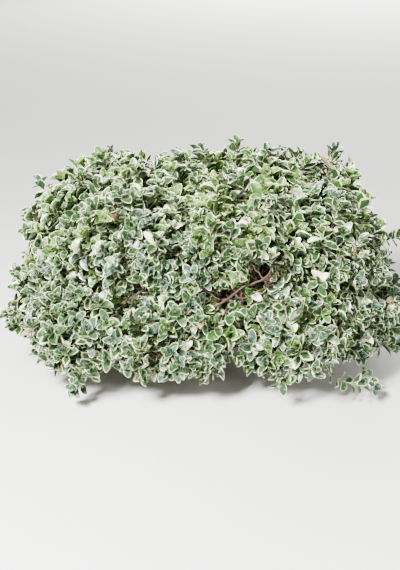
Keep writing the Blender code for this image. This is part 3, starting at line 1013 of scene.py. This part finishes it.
def leaf_shapes() -> tuple[LeafShape, ...]:
    """The four shapes of leaf in the light, then the plainer one of leaves in the shade."""
    return (
        LeafShape("leaf_cupped", fold=0.38, curl=0.28, twist=0.16, breadth=0.98, margin=0.015, flecks=(1, 20)),
        LeafShape(
            "leaf_arched",
            fold=0.06,
            curl=0.52,
            twist=-0.28,
            breadth=0.92,
            margin=0.013,
            flecks=(3, 18),
            ragged=(-0.024, -0.010, 0.010, 0.002, 0.008, 0.012, -0.004, -0.016),
        ),
        LeafShape(
            "leaf_folded",
            fold=0.70,
            curl=0.14,
            twist=0.10,
            breadth=1.04,
            margin=0.022,
            flecks=(4, 18, 20),
            ragged=(0.008, -0.026, 0.010, -0.010, 0.006, -0.008, -0.028, 0.006),
        ),
        LeafShape(
            "leaf_slim",
            fold=0.48,
            curl=-0.10,
            twist=0.34,
            breadth=0.82,
            margin=0.012,
            flecks=(1, 4),
            ragged=(0.008, 0.004, -0.014, -0.018, -0.018, 0.008, 0.010, 0.004),
        ),
        LeafShape(
            "leaf_shaded",
            fold=0.20,
            curl=0.22,
            twist=0.10,
            rim_places=(0.24, 0.58, 0.87),
            rim_widths=(0.190, 0.285, 0.165),
            inner_places=(0.52,),
            midrib=(0.06, 0.90),
        ),
    )


@dataclass(frozen=True)
class LeafPair:
    """One pair of opposite leaves on a shoot."""

    back: float
    length: float
    tilt_deg: float


@dataclass(frozen=True)
class CrossingStem:
    """A bare stem that shows in a gap: bent between its two ends, with a small kink at each node."""

    start: Vector
    end: Vector
    bow: Vector
    radii: tuple[float, float]
    kink: float = 0.0022

    def path(self) -> list[Vector]:
        """The points along its middle line."""
        middle = (self.start + self.end) / 2 + self.bow
        line = through([self.start, middle, self.end], 5)
        chance = random.Random(f"{SEED} stem {self.start.x:.3f} {self.end.x:.3f}")
        for point in line[1:-1]:
            point += Vector(chance.uniform(-self.kink, self.kink) for _ in range(3))
        return through(line, 2)


@dataclass
class Foliage:
    """The leaves and twigs of every mass."""

    framework: Framework
    shoot_spacing: float = 0.0335
    top_openness: float = 0.16
    cream_share: float = 0.010
    dry_share: float = 0.006
    cream_radius: float = 0.020
    cream_spots: tuple[Vector, ...] = (
        Vector((-0.345, -0.365, 0.421)),
        Vector((-0.490, -0.320, 0.305)),
        Vector((0.500, -0.300, 0.300)),
        Vector((0.225, -0.410, 0.285)),
        Vector((0.312, -0.400, 0.270)),
        Vector((-0.300, -0.250, 0.575)),
        Vector((-0.430, 0.280, 0.330)),
        Vector((0.180, 0.360, 0.400)),
    )
    furthest_past: tuple[float, float, float] = (0.034, 0.028, 0.024)
    form_shares: tuple[float, ...] = (0.30, 0.26, 0.22, 0.22)
    shaded_form: int = 4
    inner_layers: tuple[tuple[float, float, float], ...] = ((0.042, 0.050, 0.090), (0.065, 0.115, 0.165))
    candidates: int = 1500
    inner_candidates: int = 500
    shoot_depth: tuple[float, float] = (0.014, 0.064)
    proud_share: float = 0.14
    proud_depth: tuple[float, float] = (-0.014, 0.004)
    front_lean: Vector = field(default_factory=lambda: Vector((0, -0.35, 0)))
    branch_spacing: float = 0.10
    branch_depth: float = 0.085
    shoot_length: float = 0.075
    stem_radii: tuple[float, float] = (0.0038, 0.0030)
    branch_radii: tuple[float, float] = (0.0026, 0.0014)
    shoot_radii: tuple[float, float] = (0.0013, 0.0008)
    pairs: tuple[LeafPair, ...] = (
        LeafPair(0.000, 0.019, 12),
        LeafPair(0.003, 0.031, 23),
        LeafPair(0.008, 0.039, 35),
        LeafPair(0.016, 0.043, 46),
        LeafPair(0.026, 0.044, 56),
        LeafPair(0.038, 0.042, 65),
        LeafPair(0.052, 0.039, 74),
    )
    inner_pairs: tuple[LeafPair, ...] = (
        LeafPair(0.000, 0.022, 24),
        LeafPair(0.008, 0.034, 50),
        LeafPair(0.020, 0.040, 68),
        LeafPair(0.036, 0.038, 80),
    )
    stray_pairs: tuple[LeafPair, ...] = (
        LeafPair(0.000, 0.020, 18),
        LeafPair(0.004, 0.033, 34),
        LeafPair(0.012, 0.040, 46),
        LeafPair(0.026, 0.042, 54),
        LeafPair(0.043, 0.042, 60),
        LeafPair(0.062, 0.040, 66),
        LeafPair(0.083, 0.037, 70),
        LeafPair(0.106, 0.033, 72),
        LeafPair(0.130, 0.029, 74),
    )
    crossing_stems: tuple[CrossingStem, ...] = (
        CrossingStem(
            Vector((-0.070, -0.250, 0.220)), Vector((0.102, -0.362, 0.350)), Vector((0.008, -0.030, -0.006)), (0.0046, 0.0030)
        ),
        CrossingStem(
            Vector((0.098, -0.360, 0.348)), Vector((0.196, -0.300, 0.436)), Vector((0.014, -0.028, -0.016)), (0.0031, 0.0019)
        ),
        CrossingStem(
            Vector((0.154, -0.362, 0.372)), Vector((0.108, -0.310, 0.450)), Vector((-0.006, -0.008, -0.004)), (0.0021, 0.0012)
        ),
        CrossingStem(
            Vector((0.040, -0.352, 0.310)), Vector((-0.030, -0.320, 0.380)), Vector((-0.008, -0.010, -0.008)), (0.0023, 0.0013)
        ),
        CrossingStem(
            Vector((0.046, -0.330, 0.300)), Vector((0.206, -0.320, 0.366)), Vector((0.000, -0.024, -0.012)), (0.0020, 0.0011)
        ),
        CrossingStem(
            Vector((0.062, -0.270, 0.240)), Vector((0.176, -0.330, 0.350)), Vector((0.008, -0.024, -0.012)), (0.0036, 0.0021)
        ),
        CrossingStem(
            Vector((-0.280, -0.270, 0.236)), Vector((-0.096, -0.280, 0.380)), Vector((0.004, -0.052, 0.004)), (0.0038, 0.0022)
        ),
        CrossingStem(
            Vector((0.090, -0.290, 0.300)), Vector((0.168, -0.330, 0.150)), Vector((0.002, -0.044, 0.006)), (0.0034, 0.0020)
        ),
        CrossingStem(
            Vector((0.020, -0.300, 0.330)), Vector((0.150, -0.290, 0.300)), Vector((0.004, -0.016, 0.010)), (0.0030, 0.0020)
        ),
    )
    stray_lift: float = 0.9
    stray_tips: tuple[Vector, ...] = (
        Vector((0.378, 0.050, 0.625)),
        Vector((0.590, -0.010, 0.372)),
        Vector((-0.480, 0.000, 0.535)),
        Vector((0.475, -0.330, 0.040)),
        Vector((0.440, -0.372, 0.062)),
        Vector((-0.352, -0.392, 0.060)),
        Vector((-0.200, 0.440, 0.400)),
        Vector((0.250, 0.395, 0.530)),
    )

    def __post_init__(self) -> None:
        """Works out how far a leaf may reach and starts with no leaves and no twigs."""
        low, high = CAD_BOX
        self.lowest = [low[0] - self.furthest_past[0], low[1] - self.furthest_past[1], 0.004]
        self.highest = [edge + past for edge, past in zip(high, self.furthest_past)]
        self.leaves: dict[tuple[Tier, Tint], LeafPlaces] = defaultdict(LeafPlaces)
        self.woody: dict[Tier, TwigPaths] = defaultdict(TwigPaths)
        self.green: dict[Tier, TwigPaths] = defaultdict(TwigPaths)
        self.edges: list[Vector] = []

    def grow(self) -> None:
        """Grows every mass."""
        for cell in self.framework.cells:
            chance = random.Random(f"{SEED} leaves {cell.name}")
            branches = self.grow_branches(cell, chance)
            self.grow_outer_shoots(cell, branches, chance)
            self.grow_inner_shoots(cell, branches, chance)
        for tip in self.stray_tips:
            self.grow_stray(tip)
        for stem in self.crossing_stems:
            self.woody[Tier.SHOULDER].add(stem.path(), *stem.radii)
        count = sum(len(places.points) for places in self.leaves.values())
        log.info("%d leaves on %d outer shoots", count, len(self.edges))

    def grow_branches(self, cell: Cell, chance: random.Random) -> list[list[Vector]]:
        """Grows a mass's stem and the branches that fan out from its end.

        Args:
            cell: the mass's cell.
            chance: its seeded chance.

        Returns:
            The path of each branch.
        """
        tip, arrive, _ = cell.limb.at(1.0)
        stem = bend(tip - arrive * 0.004, arrive, cell.centre, arrive, 4)
        self.woody[cell.tier].add(stem, *self.stem_radii)
        branches, ends = [stem], []
        for direction in spread_directions(160, chance.uniform(0, math.pi)):
            if direction.dot(cell.outward) < -0.45:
                continue
            edge = cell.centre + direction * cell.room(direction, 0.0, 0.012)
            if any((edge - other).length < self.branch_spacing for other in ends):
                continue
            reach = (edge - cell.centre).length - self.branch_depth * 0.8
            if reach < 0.02:
                continue
            ends.append(edge)
            end = cell.centre + direction * reach
            start_share = chance.uniform(0.55, 1.0)
            start = stem[int(start_share * 4)]
            wander = Vector(chance.uniform(-0.25, 0.25) for _ in range(3))
            way = (arrive + direction + wander).normalized()
            end_way = (direction + cell.crown.outward(edge) * 0.6 + UP * 0.3).normalized()
            path = bend(start, way, end, end_way, 6)
            self.woody[cell.tier].add(path, *self.branch_radii)
            branches.append(path)
        return branches

    def nearest_on(self, branches: list[list[Vector]], place: Vector) -> tuple[Vector, Vector]:
        """The point of the branches that is nearest to a place, and the branch's direction there."""
        found = min(
            ((point - place).length, number, index)
            for number, path in enumerate(branches)
            for index, point in enumerate(path[1:], 1)
        )
        path = branches[found[1]]
        index = found[2]
        return path[index], (path[index] - path[index - 1]).normalized()

    def grow_outer_shoots(self, cell: Cell, branches: list[list[Vector]], chance: random.Random) -> None:
        """Grows the shoots whose tips make the crown's leafy surface.

        Args:
            cell: the mass's cell.
            branches: the branches that the shoots grow from.
            chance: the mass's seeded chance.
        """
        crown = cell.crown
        for direction in spread_directions(self.candidates, chance.uniform(0, math.pi)):
            if direction.dot(cell.outward) < -0.35:
                continue
            edge = cell.centre + direction * cell.room(direction, 0.0, 0.003)
            normal = crown.outward(edge)
            spacing = self.shoot_spacing * (1 + self.top_openness * max(normal.z, 0.0))
            if any((edge - other).length_squared < spacing**2 for other in self.edges):
                continue
            if crown.past(edge) < -0.050:
                continue
            if normal.z < -0.55:
                continue
            self.edges.append(edge)
            depths = self.proud_depth if chance.random() < self.proud_share else self.shoot_depth
            tip = edge - normal * chance.uniform(*depths) * (1 + self.top_openness * max(normal.z, 0.0))
            wander = Vector(chance.uniform(-0.5, 0.5) for _ in range(3))
            lean = self.front_lean * max(normal.z, 0.0) * min(max((0.25 - edge.y) / 0.2, 0.0), 1.0)
            axis = (direction * 0.25 + normal * 0.7 + UP * 0.75 + lean + wander).normalized()
            tints = self.tints_of(edge, chance)
            self.grow_shoot(cell.tier, branches, tip, axis, self.pairs, tints, chance)

    def grow_inner_shoots(self, cell: Cell, branches: list[list[Vector]], chance: random.Random) -> None:
        """Grows the shaded shoots under the surface.

        Args:
            cell: the mass's cell.
            branches: the branches that the shoots grow from.
            chance: the mass's seeded chance.
        """
        for spacing, nearest, furthest in self.inner_layers:
            ends: list[Vector] = []
            for direction in spread_directions(self.inner_candidates, chance.uniform(0, math.pi)):
                edge = cell.centre + direction * cell.room(direction, 0.0, 0.003)
                if any((edge - other).length_squared < spacing**2 for other in ends):
                    continue
                if cell.crown.past(edge) < -0.10:
                    continue
                ends.append(edge)
                tip = edge - cell.crown.outward(edge) * chance.uniform(nearest, furthest)
                if cell.surface.in_gap(tip):
                    continue
                wander = Vector(chance.uniform(-0.5, 0.5) for _ in range(3))
                axis = (direction + UP * 0.4 + wander).normalized()
                # The leaves of these shaded shoots take the darkest tint, whose margins and flecks carry painted
                # shade.
                tints = (Tint.DEEP, Tint.DEEP if chance.random() < 0.6 else Tint.MID)
                self.grow_shoot(cell.tier, branches, tip, axis, self.inner_pairs, tints, chance)

    def tints_of(self, place: Vector, chance: random.Random) -> tuple[Tint, Tint]:
        """Deals a spray its tints.

        Args:
            place: where the spray is.
            chance: the mass's seeded chance.

        Returns:
            The tint of its young leaves and that of its older ones.
        """
        patch = 0.6 * noise.noise(place * 3.1 + Vector((5.3, 1.7, 9.1))) + chance.uniform(-0.55, 0.55)
        patch += 0.6 * (place.z - 0.38) - 0.25 * place.x
        light = place.z - 0.30 + chance.uniform(-0.15, 0.15)
        if any((place - spot).length < self.cream_radius for spot in self.cream_spots):
            return Tint.CREAM, Tint.FROSTED
        if chance.random() < (0.08 if place.z < 0.5 else 0.03):
            return Tint.FROSTED, Tint.GREY
        if patch > 0.45:
            return (Tint.YOUNG if light > 0 else Tint.BRIGHT), Tint.BRIGHT
        if patch > 0.16:
            return Tint.BRIGHT, Tint.MID
        if patch < -0.30:
            return Tint.GREY, Tint.MID
        return Tint.MID, Tint.MID

    def grow_shoot(
        self,
        tier: Tier,
        branches: list[list[Vector]],
        tip: Vector,
        axis: Vector,
        pairs: tuple[LeafPair, ...],
        tints: tuple[Tint, Tint],
        chance: random.Random,
    ) -> None:
        """Grows one shoot from the nearest branch, with crossed pairs of leaves.

        Args:
            tier: the tier that it belongs to.
            branches: the branches that it may grow from.
            tip: where it ends.
            axis: its direction there.
            pairs: its pairs of leaves, from the tip back.
            tints: the tint of its young leaves and that of its older ones.
            chance: the mass's seeded chance.
        """
        start, way = self.nearest_on(branches, tip - axis * self.shoot_length)
        path = bend(start, (way + axis).normalized(), tip, axis, 7)
        self.woody[tier].add(path[:6], self.shoot_radii[0], self.shoot_radii[1] * 1.1)
        self.green[tier].add(path[5:], self.shoot_radii[1] * 1.1, self.shoot_radii[1] * 0.8)
        self.dress(tier, path, pairs, tints, chance)

    def dress(
        self,
        tier: Tier,
        path: list[Vector],
        pairs: tuple[LeafPair, ...],
        tints: tuple[Tint, Tint],
        chance: random.Random,
        lift: float = 0.15,
    ) -> None:
        """Sets crossed pairs of leaves along the end of a shoot.

        Args:
            tier: the tier that it belongs to.
            path: the shoot's path.
            pairs: its pairs of leaves, from the tip back.
            tints: the tint of its young leaves and that of its older ones.
            chance: the mass's seeded chance.
            lift: how strongly the leaves turn their faces up.
        """
        spin = chance.uniform(0, math.pi)
        vigour = chance.triangular(0.70, 1.16, 0.92) * (1.0 + 0.12 * min(max(path[-1].z - 0.40, 0.0) / 0.15, 1.0))
        for number, pair in enumerate(pairs):
            root, axis = self.back_along(path, pair.back * vigour)
            side = any_across(axis)
            other = axis.cross(side)
            for half in range(2):
                turn = spin + number * math.pi / 2 + half * math.pi + chance.uniform(-0.22, 0.22)
                radial = side * math.cos(turn) + other * math.sin(turn)
                tilt = math.radians(pair.tilt_deg + chance.uniform(-14, 14))
                leaf_way = axis * math.cos(tilt) + radial * math.sin(tilt)
                facing = axis * math.sin(tilt) - radial * math.cos(tilt)
                facing += UP * lift + Vector(chance.uniform(-0.35, 0.35) for _ in range(3))
                facing = (facing - leaf_way * facing.dot(leaf_way)).normalized()
                size = pair.length * vigour * chance.uniform(0.92, 1.08)
                end = root + leaf_way * size
                gap = self.framework.surface.in_gap
                if gap(end) or gap((root + end) / 2) or not self.in_reach(end):
                    continue
                matrix = Matrix((leaf_way.cross(facing), leaf_way, facing)).transposed()
                tint = tints[0] if number < 3 else tints[1]
                # Half the older MID leaves, further back on the shoot, take the darkest tint: the duller green of
                # older leaves, with painted shade in their margins and flecks.
                if number >= 4 and tint is Tint.MID and chance.random() < 0.5:
                    tint = Tint.DEEP
                if chance.random() < self.cream_share:
                    tint = Tint.CREAM
                if number >= 4 and chance.random() < self.dry_share:
                    tint = Tint.DRY
                form = self.shaded_form if tint is Tint.DEEP else chance.choices(range(4), self.form_shares)[0]
                self.leaves[tier, tint].add(root, matrix, size, form)

    def in_reach(self, point: Vector) -> bool:
        """True if a leaf may end at this point: over the ground and hardly past the part's box."""
        return all(low < place < high for low, place, high in zip(self.lowest, point, self.highest))

    def back_along(self, path: list[Vector], distance: float) -> tuple[Vector, Vector]:
        """The point this far back from a path's end, and the direction there."""
        for end, start in zip(path[::-1], path[-2::-1]):
            step = end - start
            if distance <= step.length:
                return end - step.normalized() * distance, step.normalized()
            distance -= step.length
        return path[0], (path[1] - path[0]).normalized()

    def grow_stray(self, tip: Vector) -> None:
        """Grows one long shoot that strays out of the outline, with its pairs of leaves far apart."""
        cell = min(self.framework.cells, key=lambda c: (c.centre - tip).length)
        chance = random.Random(f"{SEED} stray {tip.x:.3f}")
        way = (tip - cell.centre).normalized()
        sideways = any_across(way) * chance.uniform(-0.5, 0.5)
        path = bend(cell.centre, (way + sideways).normalized(), tip, (way + UP * 0.5).normalized(), 10)
        self.woody[cell.tier].add(path[:7], 0.0018, 0.0013)
        self.green[cell.tier].add(path[6:], 0.0013, 0.0008)
        self.dress(cell.tier, path, self.stray_pairs, (Tint.GREY, Tint.MID), chance, self.stray_lift)

    def make_leaves(self) -> list[bpy.types.Object]:
        """Sets the leaves of each tier and tint as joined meshes.

        Returns:
            The pieces.
        """
        most = 5800
        forms = [new_object(shape.name, shape.mesh()) for shape in leaf_shapes()]
        recipe = LeafRecipe()
        pieces = []
        for tint in Tint:
            paints = tint.value.materials(tint.name.lower())
            for tier in Tier:
                places = self.leaves.get((tier, tint))
                if places is None:
                    continue
                for number, start in enumerate(range(0, len(places.points), most)):
                    name = f"leaves_{tier.value.name}_{tint.name.lower()}" + (f"_{number + 1}" if number else "")
                    values = dict(zip(recipe.shape_names, forms)) | paints
                    piece = recipe.run(name, places.part(start, start + most).mesh(name), values)
                    self.settle(piece, tier)
                    pieces.append(piece)
        for form in forms:
            bpy.data.objects.remove(form)
        return pieces

    def make_twigs(self, bark: bpy.types.Material) -> list[bpy.types.Object]:
        """Makes the woody twigs and the green shoots of each tier as joined meshes.

        Args:
            bark: the finish of the woody ones.

        Returns:
            The pieces.
        """
        green = plain_material("young_shoot", (0.26, 0.36, 0.12), 0.5)
        recipe = TwigRecipe()
        pieces = []
        for kind, paths, finish, sides in (("twigs", self.woody, bark, 4), ("shoots", self.green, green, 3)):
            for tier in Tier:
                name = f"{kind}_{tier.value.name}"
                values = {"Sides": sides, "Finish": finish}
                piece = recipe.run(name, paths[tier].mesh(name), values)
                self.settle(piece, tier)
                pieces.append(piece)
        return pieces

    def settle(self, piece: bpy.types.Object, tier: Tier) -> None:
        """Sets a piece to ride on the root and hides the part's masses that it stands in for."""
        nodes = [f"foliage_{cell.name}" for cell in self.framework.cells if cell.tier is tier]
        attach(piece, "root")
        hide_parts(*nodes)
        log.info("%s: %d faces", piece.name, len(piece.data.polygons))


@dataclass
class Woodwork:
    """The stump and the boughs under one skin of bark."""

    framework: Framework
    finish: BarkFinish = field(default_factory=BarkFinish)
    flare_radius: float = 0.036
    stump_radius: float = 0.021
    lobes: int = 5
    lobe_depth: float = 0.16
    voxel: float = 0.0021
    furrow_depth: float = 0.0007

    def stump(self) -> bpy.types.Object:
        """Builds the stump's body: rings that widen to a lobed flare at the ground.

        Returns:
            The object that holds it.
        """
        sides, rings = 40, 14
        height = self.framework.stump_height
        bm = bmesh.new()
        rows = []
        for ring in range(rings + 1):
            share = ring / rings
            flare = (self.flare_radius - self.stump_radius) * (1 - min(share / 0.6, 1)) ** 1.6
            dome = math.sqrt(max(1 - max(share - 0.75, 0) ** 2 * 14, 0.05))
            row = []
            for i in range(sides):
                bearing = 2 * math.pi * i / sides
                lobe = 1 + self.lobe_depth * (1 - share) ** 2 * math.cos(self.lobes * bearing)
                radius = (self.stump_radius + flare) * lobe * dome
                point = Vector((radius * math.cos(bearing), radius * math.sin(bearing), share * height))
                row.append(bm.verts.new(point + self.framework.stump_lean * share))
            rows.append(row)
        for low, high in zip(rows, rows[1:]):
            for i in range(sides):
                bm.faces.new((low[i], low[(i + 1) % sides], high[(i + 1) % sides], high[i]))
        bm.faces.new(rows[0][::-1])
        bm.faces.new(rows[-1])
        mesh = bpy.data.meshes.new("stump_body")
        bm.to_mesh(mesh)
        bm.free()
        return new_object("stump_body", mesh)

    def build(self, bark: bpy.types.Material) -> bpy.types.Object:
        """Builds the bark over the stump and boughs.

        Args:
            bark: the bark's material.

        Returns:
            The piece.
        """
        paths = TwigPaths()
        lines = []
        for limb in self.framework.main_boughs + self.framework.side_boughs:
            line = through(limb.lead + limb.points, 6)
            lines.append(line)
            paths.add(line, limb.radii[0] * 1.04, limb.radii[1])
        limbs = TwigRecipe().run("bough_tubes", paths.mesh("bough_tubes"), {"Sides": 12, "Finish": bark})
        stump = self.stump()
        piece = self.join("bark", [stump, limbs])
        remesh = piece.modifiers.new("skin", "REMESH")
        remesh.mode = "VOXEL"
        remesh.voxel_size = self.voxel
        smooth = piece.modifiers.new("smooth", "SMOOTH")
        smooth.factor = 0.5
        smooth.iterations = 2
        graph = bpy.context.evaluated_depsgraph_get()
        skin = bpy.data.meshes.new_from_object(piece.evaluated_get(graph))
        piece.modifiers.clear()
        piece.data = skin
        self.carve(skin, lines)
        skin.materials.clear()
        skin.materials.append(bark)
        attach(piece, "root")
        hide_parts("trunk", *(limb.name for limb in self.framework.main_boughs + self.framework.side_boughs))
        log.info("%s: %d faces", piece.name, len(skin.polygons))
        return piece

    def join(self, name: str, objects: list[bpy.types.Object]) -> bpy.types.Object:
        """Joins objects into one of this name and removes them."""
        bm = bmesh.new()
        for obj in objects:
            bm.from_mesh(obj.data)
            bpy.data.objects.remove(obj)
        mesh = bpy.data.meshes.new(name)
        bm.to_mesh(mesh)
        bm.free()
        return new_object(name, mesh)

    def carve(self, skin: bpy.types.Mesh, lines: list[list[Vector]]) -> None:
        """Presses lengthwise furrows into the skin and notes the relief for its colour.

        Args:
            skin: the smooth skin.
            lines: the middle line of each limb.
        """
        samples = [(a, (b - a).normalized()) for line in lines for a, b in zip(line, line[1:])]
        tree = kdtree.KDTree(len(samples))
        for number, (point, _) in enumerate(samples):
            tree.insert(point, number)
        tree.balance()
        relief = []
        moved = []
        for vert in skin.vertices:
            _, number, _ = tree.find(vert.co)
            centre, way = samples[number]
            offset = vert.co - centre
            along = offset.dot(way)
            across = (offset - way * along).normalized()
            stretched = across * 2.6 + way * (vert.co.dot(way) * 26) + centre * 9
            ridge = noise.noise(stretched) * 0.65 + noise.noise(stretched * 2.3) * 0.35
            fine = noise.noise(vert.co * 260) * 0.25
            value = min(max(0.5 + ridge * 0.9 + fine, 0.0), 1.0)
            relief.append(value)
            thickness = (offset - way * along).length
            depth = min(self.furrow_depth, thickness * 0.10)
            moved.append(vert.co + vert.normal * depth * (value - 0.6) * 2)
        for vert, place in zip(skin.vertices, moved):
            vert.co = place
            if vert.co.z < 0.0016:
                vert.co.z = 0.0
        for face in skin.polygons:
            face.use_smooth = True
        skin.attributes.new("relief", "FLOAT", "POINT").data.foreach_set("value", relief)


@dataclass
class Studio:
    """The pale floor, the soft light and the camera."""

    floor_size: float = 80.0
    floor_colour: Colour = (0.62, 0.61, 0.59)
    target: Vector = field(default_factory=lambda: Vector((0, 0, 0.25)))
    distance: float = 2.9
    elevation_deg: float = 20.5
    lens_mm: float = 60.6
    shift: tuple[float, float] = (-0.008, -0.019)

    def build(self) -> None:
        """Lays the floor, hangs the lights and sets up the camera."""
        half = self.floor_size / 2
        mesh = bpy.data.meshes.new("floor")
        mesh.from_pydata([(-half, -half, 0), (half, -half, 0), (half, half, 0), (-half, half, 0)], [], [(0, 1, 2, 3)])
        mesh.materials.append(plain_material("floor", self.floor_colour, 0.9))
        new_object("floor", mesh)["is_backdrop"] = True
        world = bpy.context.scene.world or bpy.data.worlds.new("studio")
        bpy.context.scene.world = world
        world.use_nodes = True
        background = world.node_tree.nodes["Background"]
        background.inputs["Color"].default_value = (1.0, 1.0, 0.93, 1)
        background.inputs["Strength"].default_value = 0.27
        self.lamp("key", Vector((-1.30, -2.15, 2.35)), 0.8, 860)
        self.lamp("fill", Vector((2.2, -2.8, 1.5)), 2.2, 80)
        self.lamp("back", Vector((2.8, 14.0, 5.8)), 9.0, 6000)
        self.aim_camera()

    def lamp(self, name: str, place: Vector, size: float, power: float) -> None:
        """Hangs one square soft light that shines on the shrub.

        Args:
            name: the lamp's name.
            place: where it hangs.
            size: its side.
            power: its power in watts.
        """
        light = bpy.data.lights.new(name, "AREA")
        light.size = size
        light.energy = power
        lamp = bpy.data.objects.new(name, light)
        lamp.location = place
        lamp.visible_camera = False
        lamp.rotation_euler = (self.target - place).to_track_quat("-Z", "Y").to_euler()
        bpy.context.scene.collection.objects.link(lamp)

    def aim_camera(self) -> None:
        """Sets the camera at the photograph's viewing angle."""
        lens = bpy.data.cameras.new("camera")
        lens.lens = self.lens_mm
        lens.sensor_width = 36
        lens.shift_x, lens.shift_y = self.shift
        camera = bpy.data.objects.new("camera", lens)
        rise = math.radians(self.elevation_deg)
        back = Vector((0, -math.cos(rise), math.sin(rise)))
        camera.location = self.target + back * self.distance
        camera.rotation_euler = (-back).to_track_quat("-Z", "Y").to_euler()
        bpy.context.scene.collection.objects.link(camera)
        bpy.context.scene.camera = camera


def main() -> None:
    """Builds every piece in order."""
    logging.basicConfig(level=logging.INFO, format="%(name)s %(message)s")
    framework = Framework()
    bark = BarkFinish().material()
    Woodwork(framework).build(bark)
    foliage = Foliage(framework)
    foliage.grow()
    foliage.make_leaves()
    foliage.make_twigs(plain_material("twig_bark", (0.042, 0.019, 0.009), 0.8))
    Studio().build()
    boxes = {
        "cad": [list(corner) for corner in CAD_BOX],
        "visual": [list(corner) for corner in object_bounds()],
    }
    for name, (low, high) in boxes.items():
        log.info("%s box: %s", name, [round(1000 * (b - a)) for a, b in zip(low, high)])


if __name__ == "__main__":
    main()
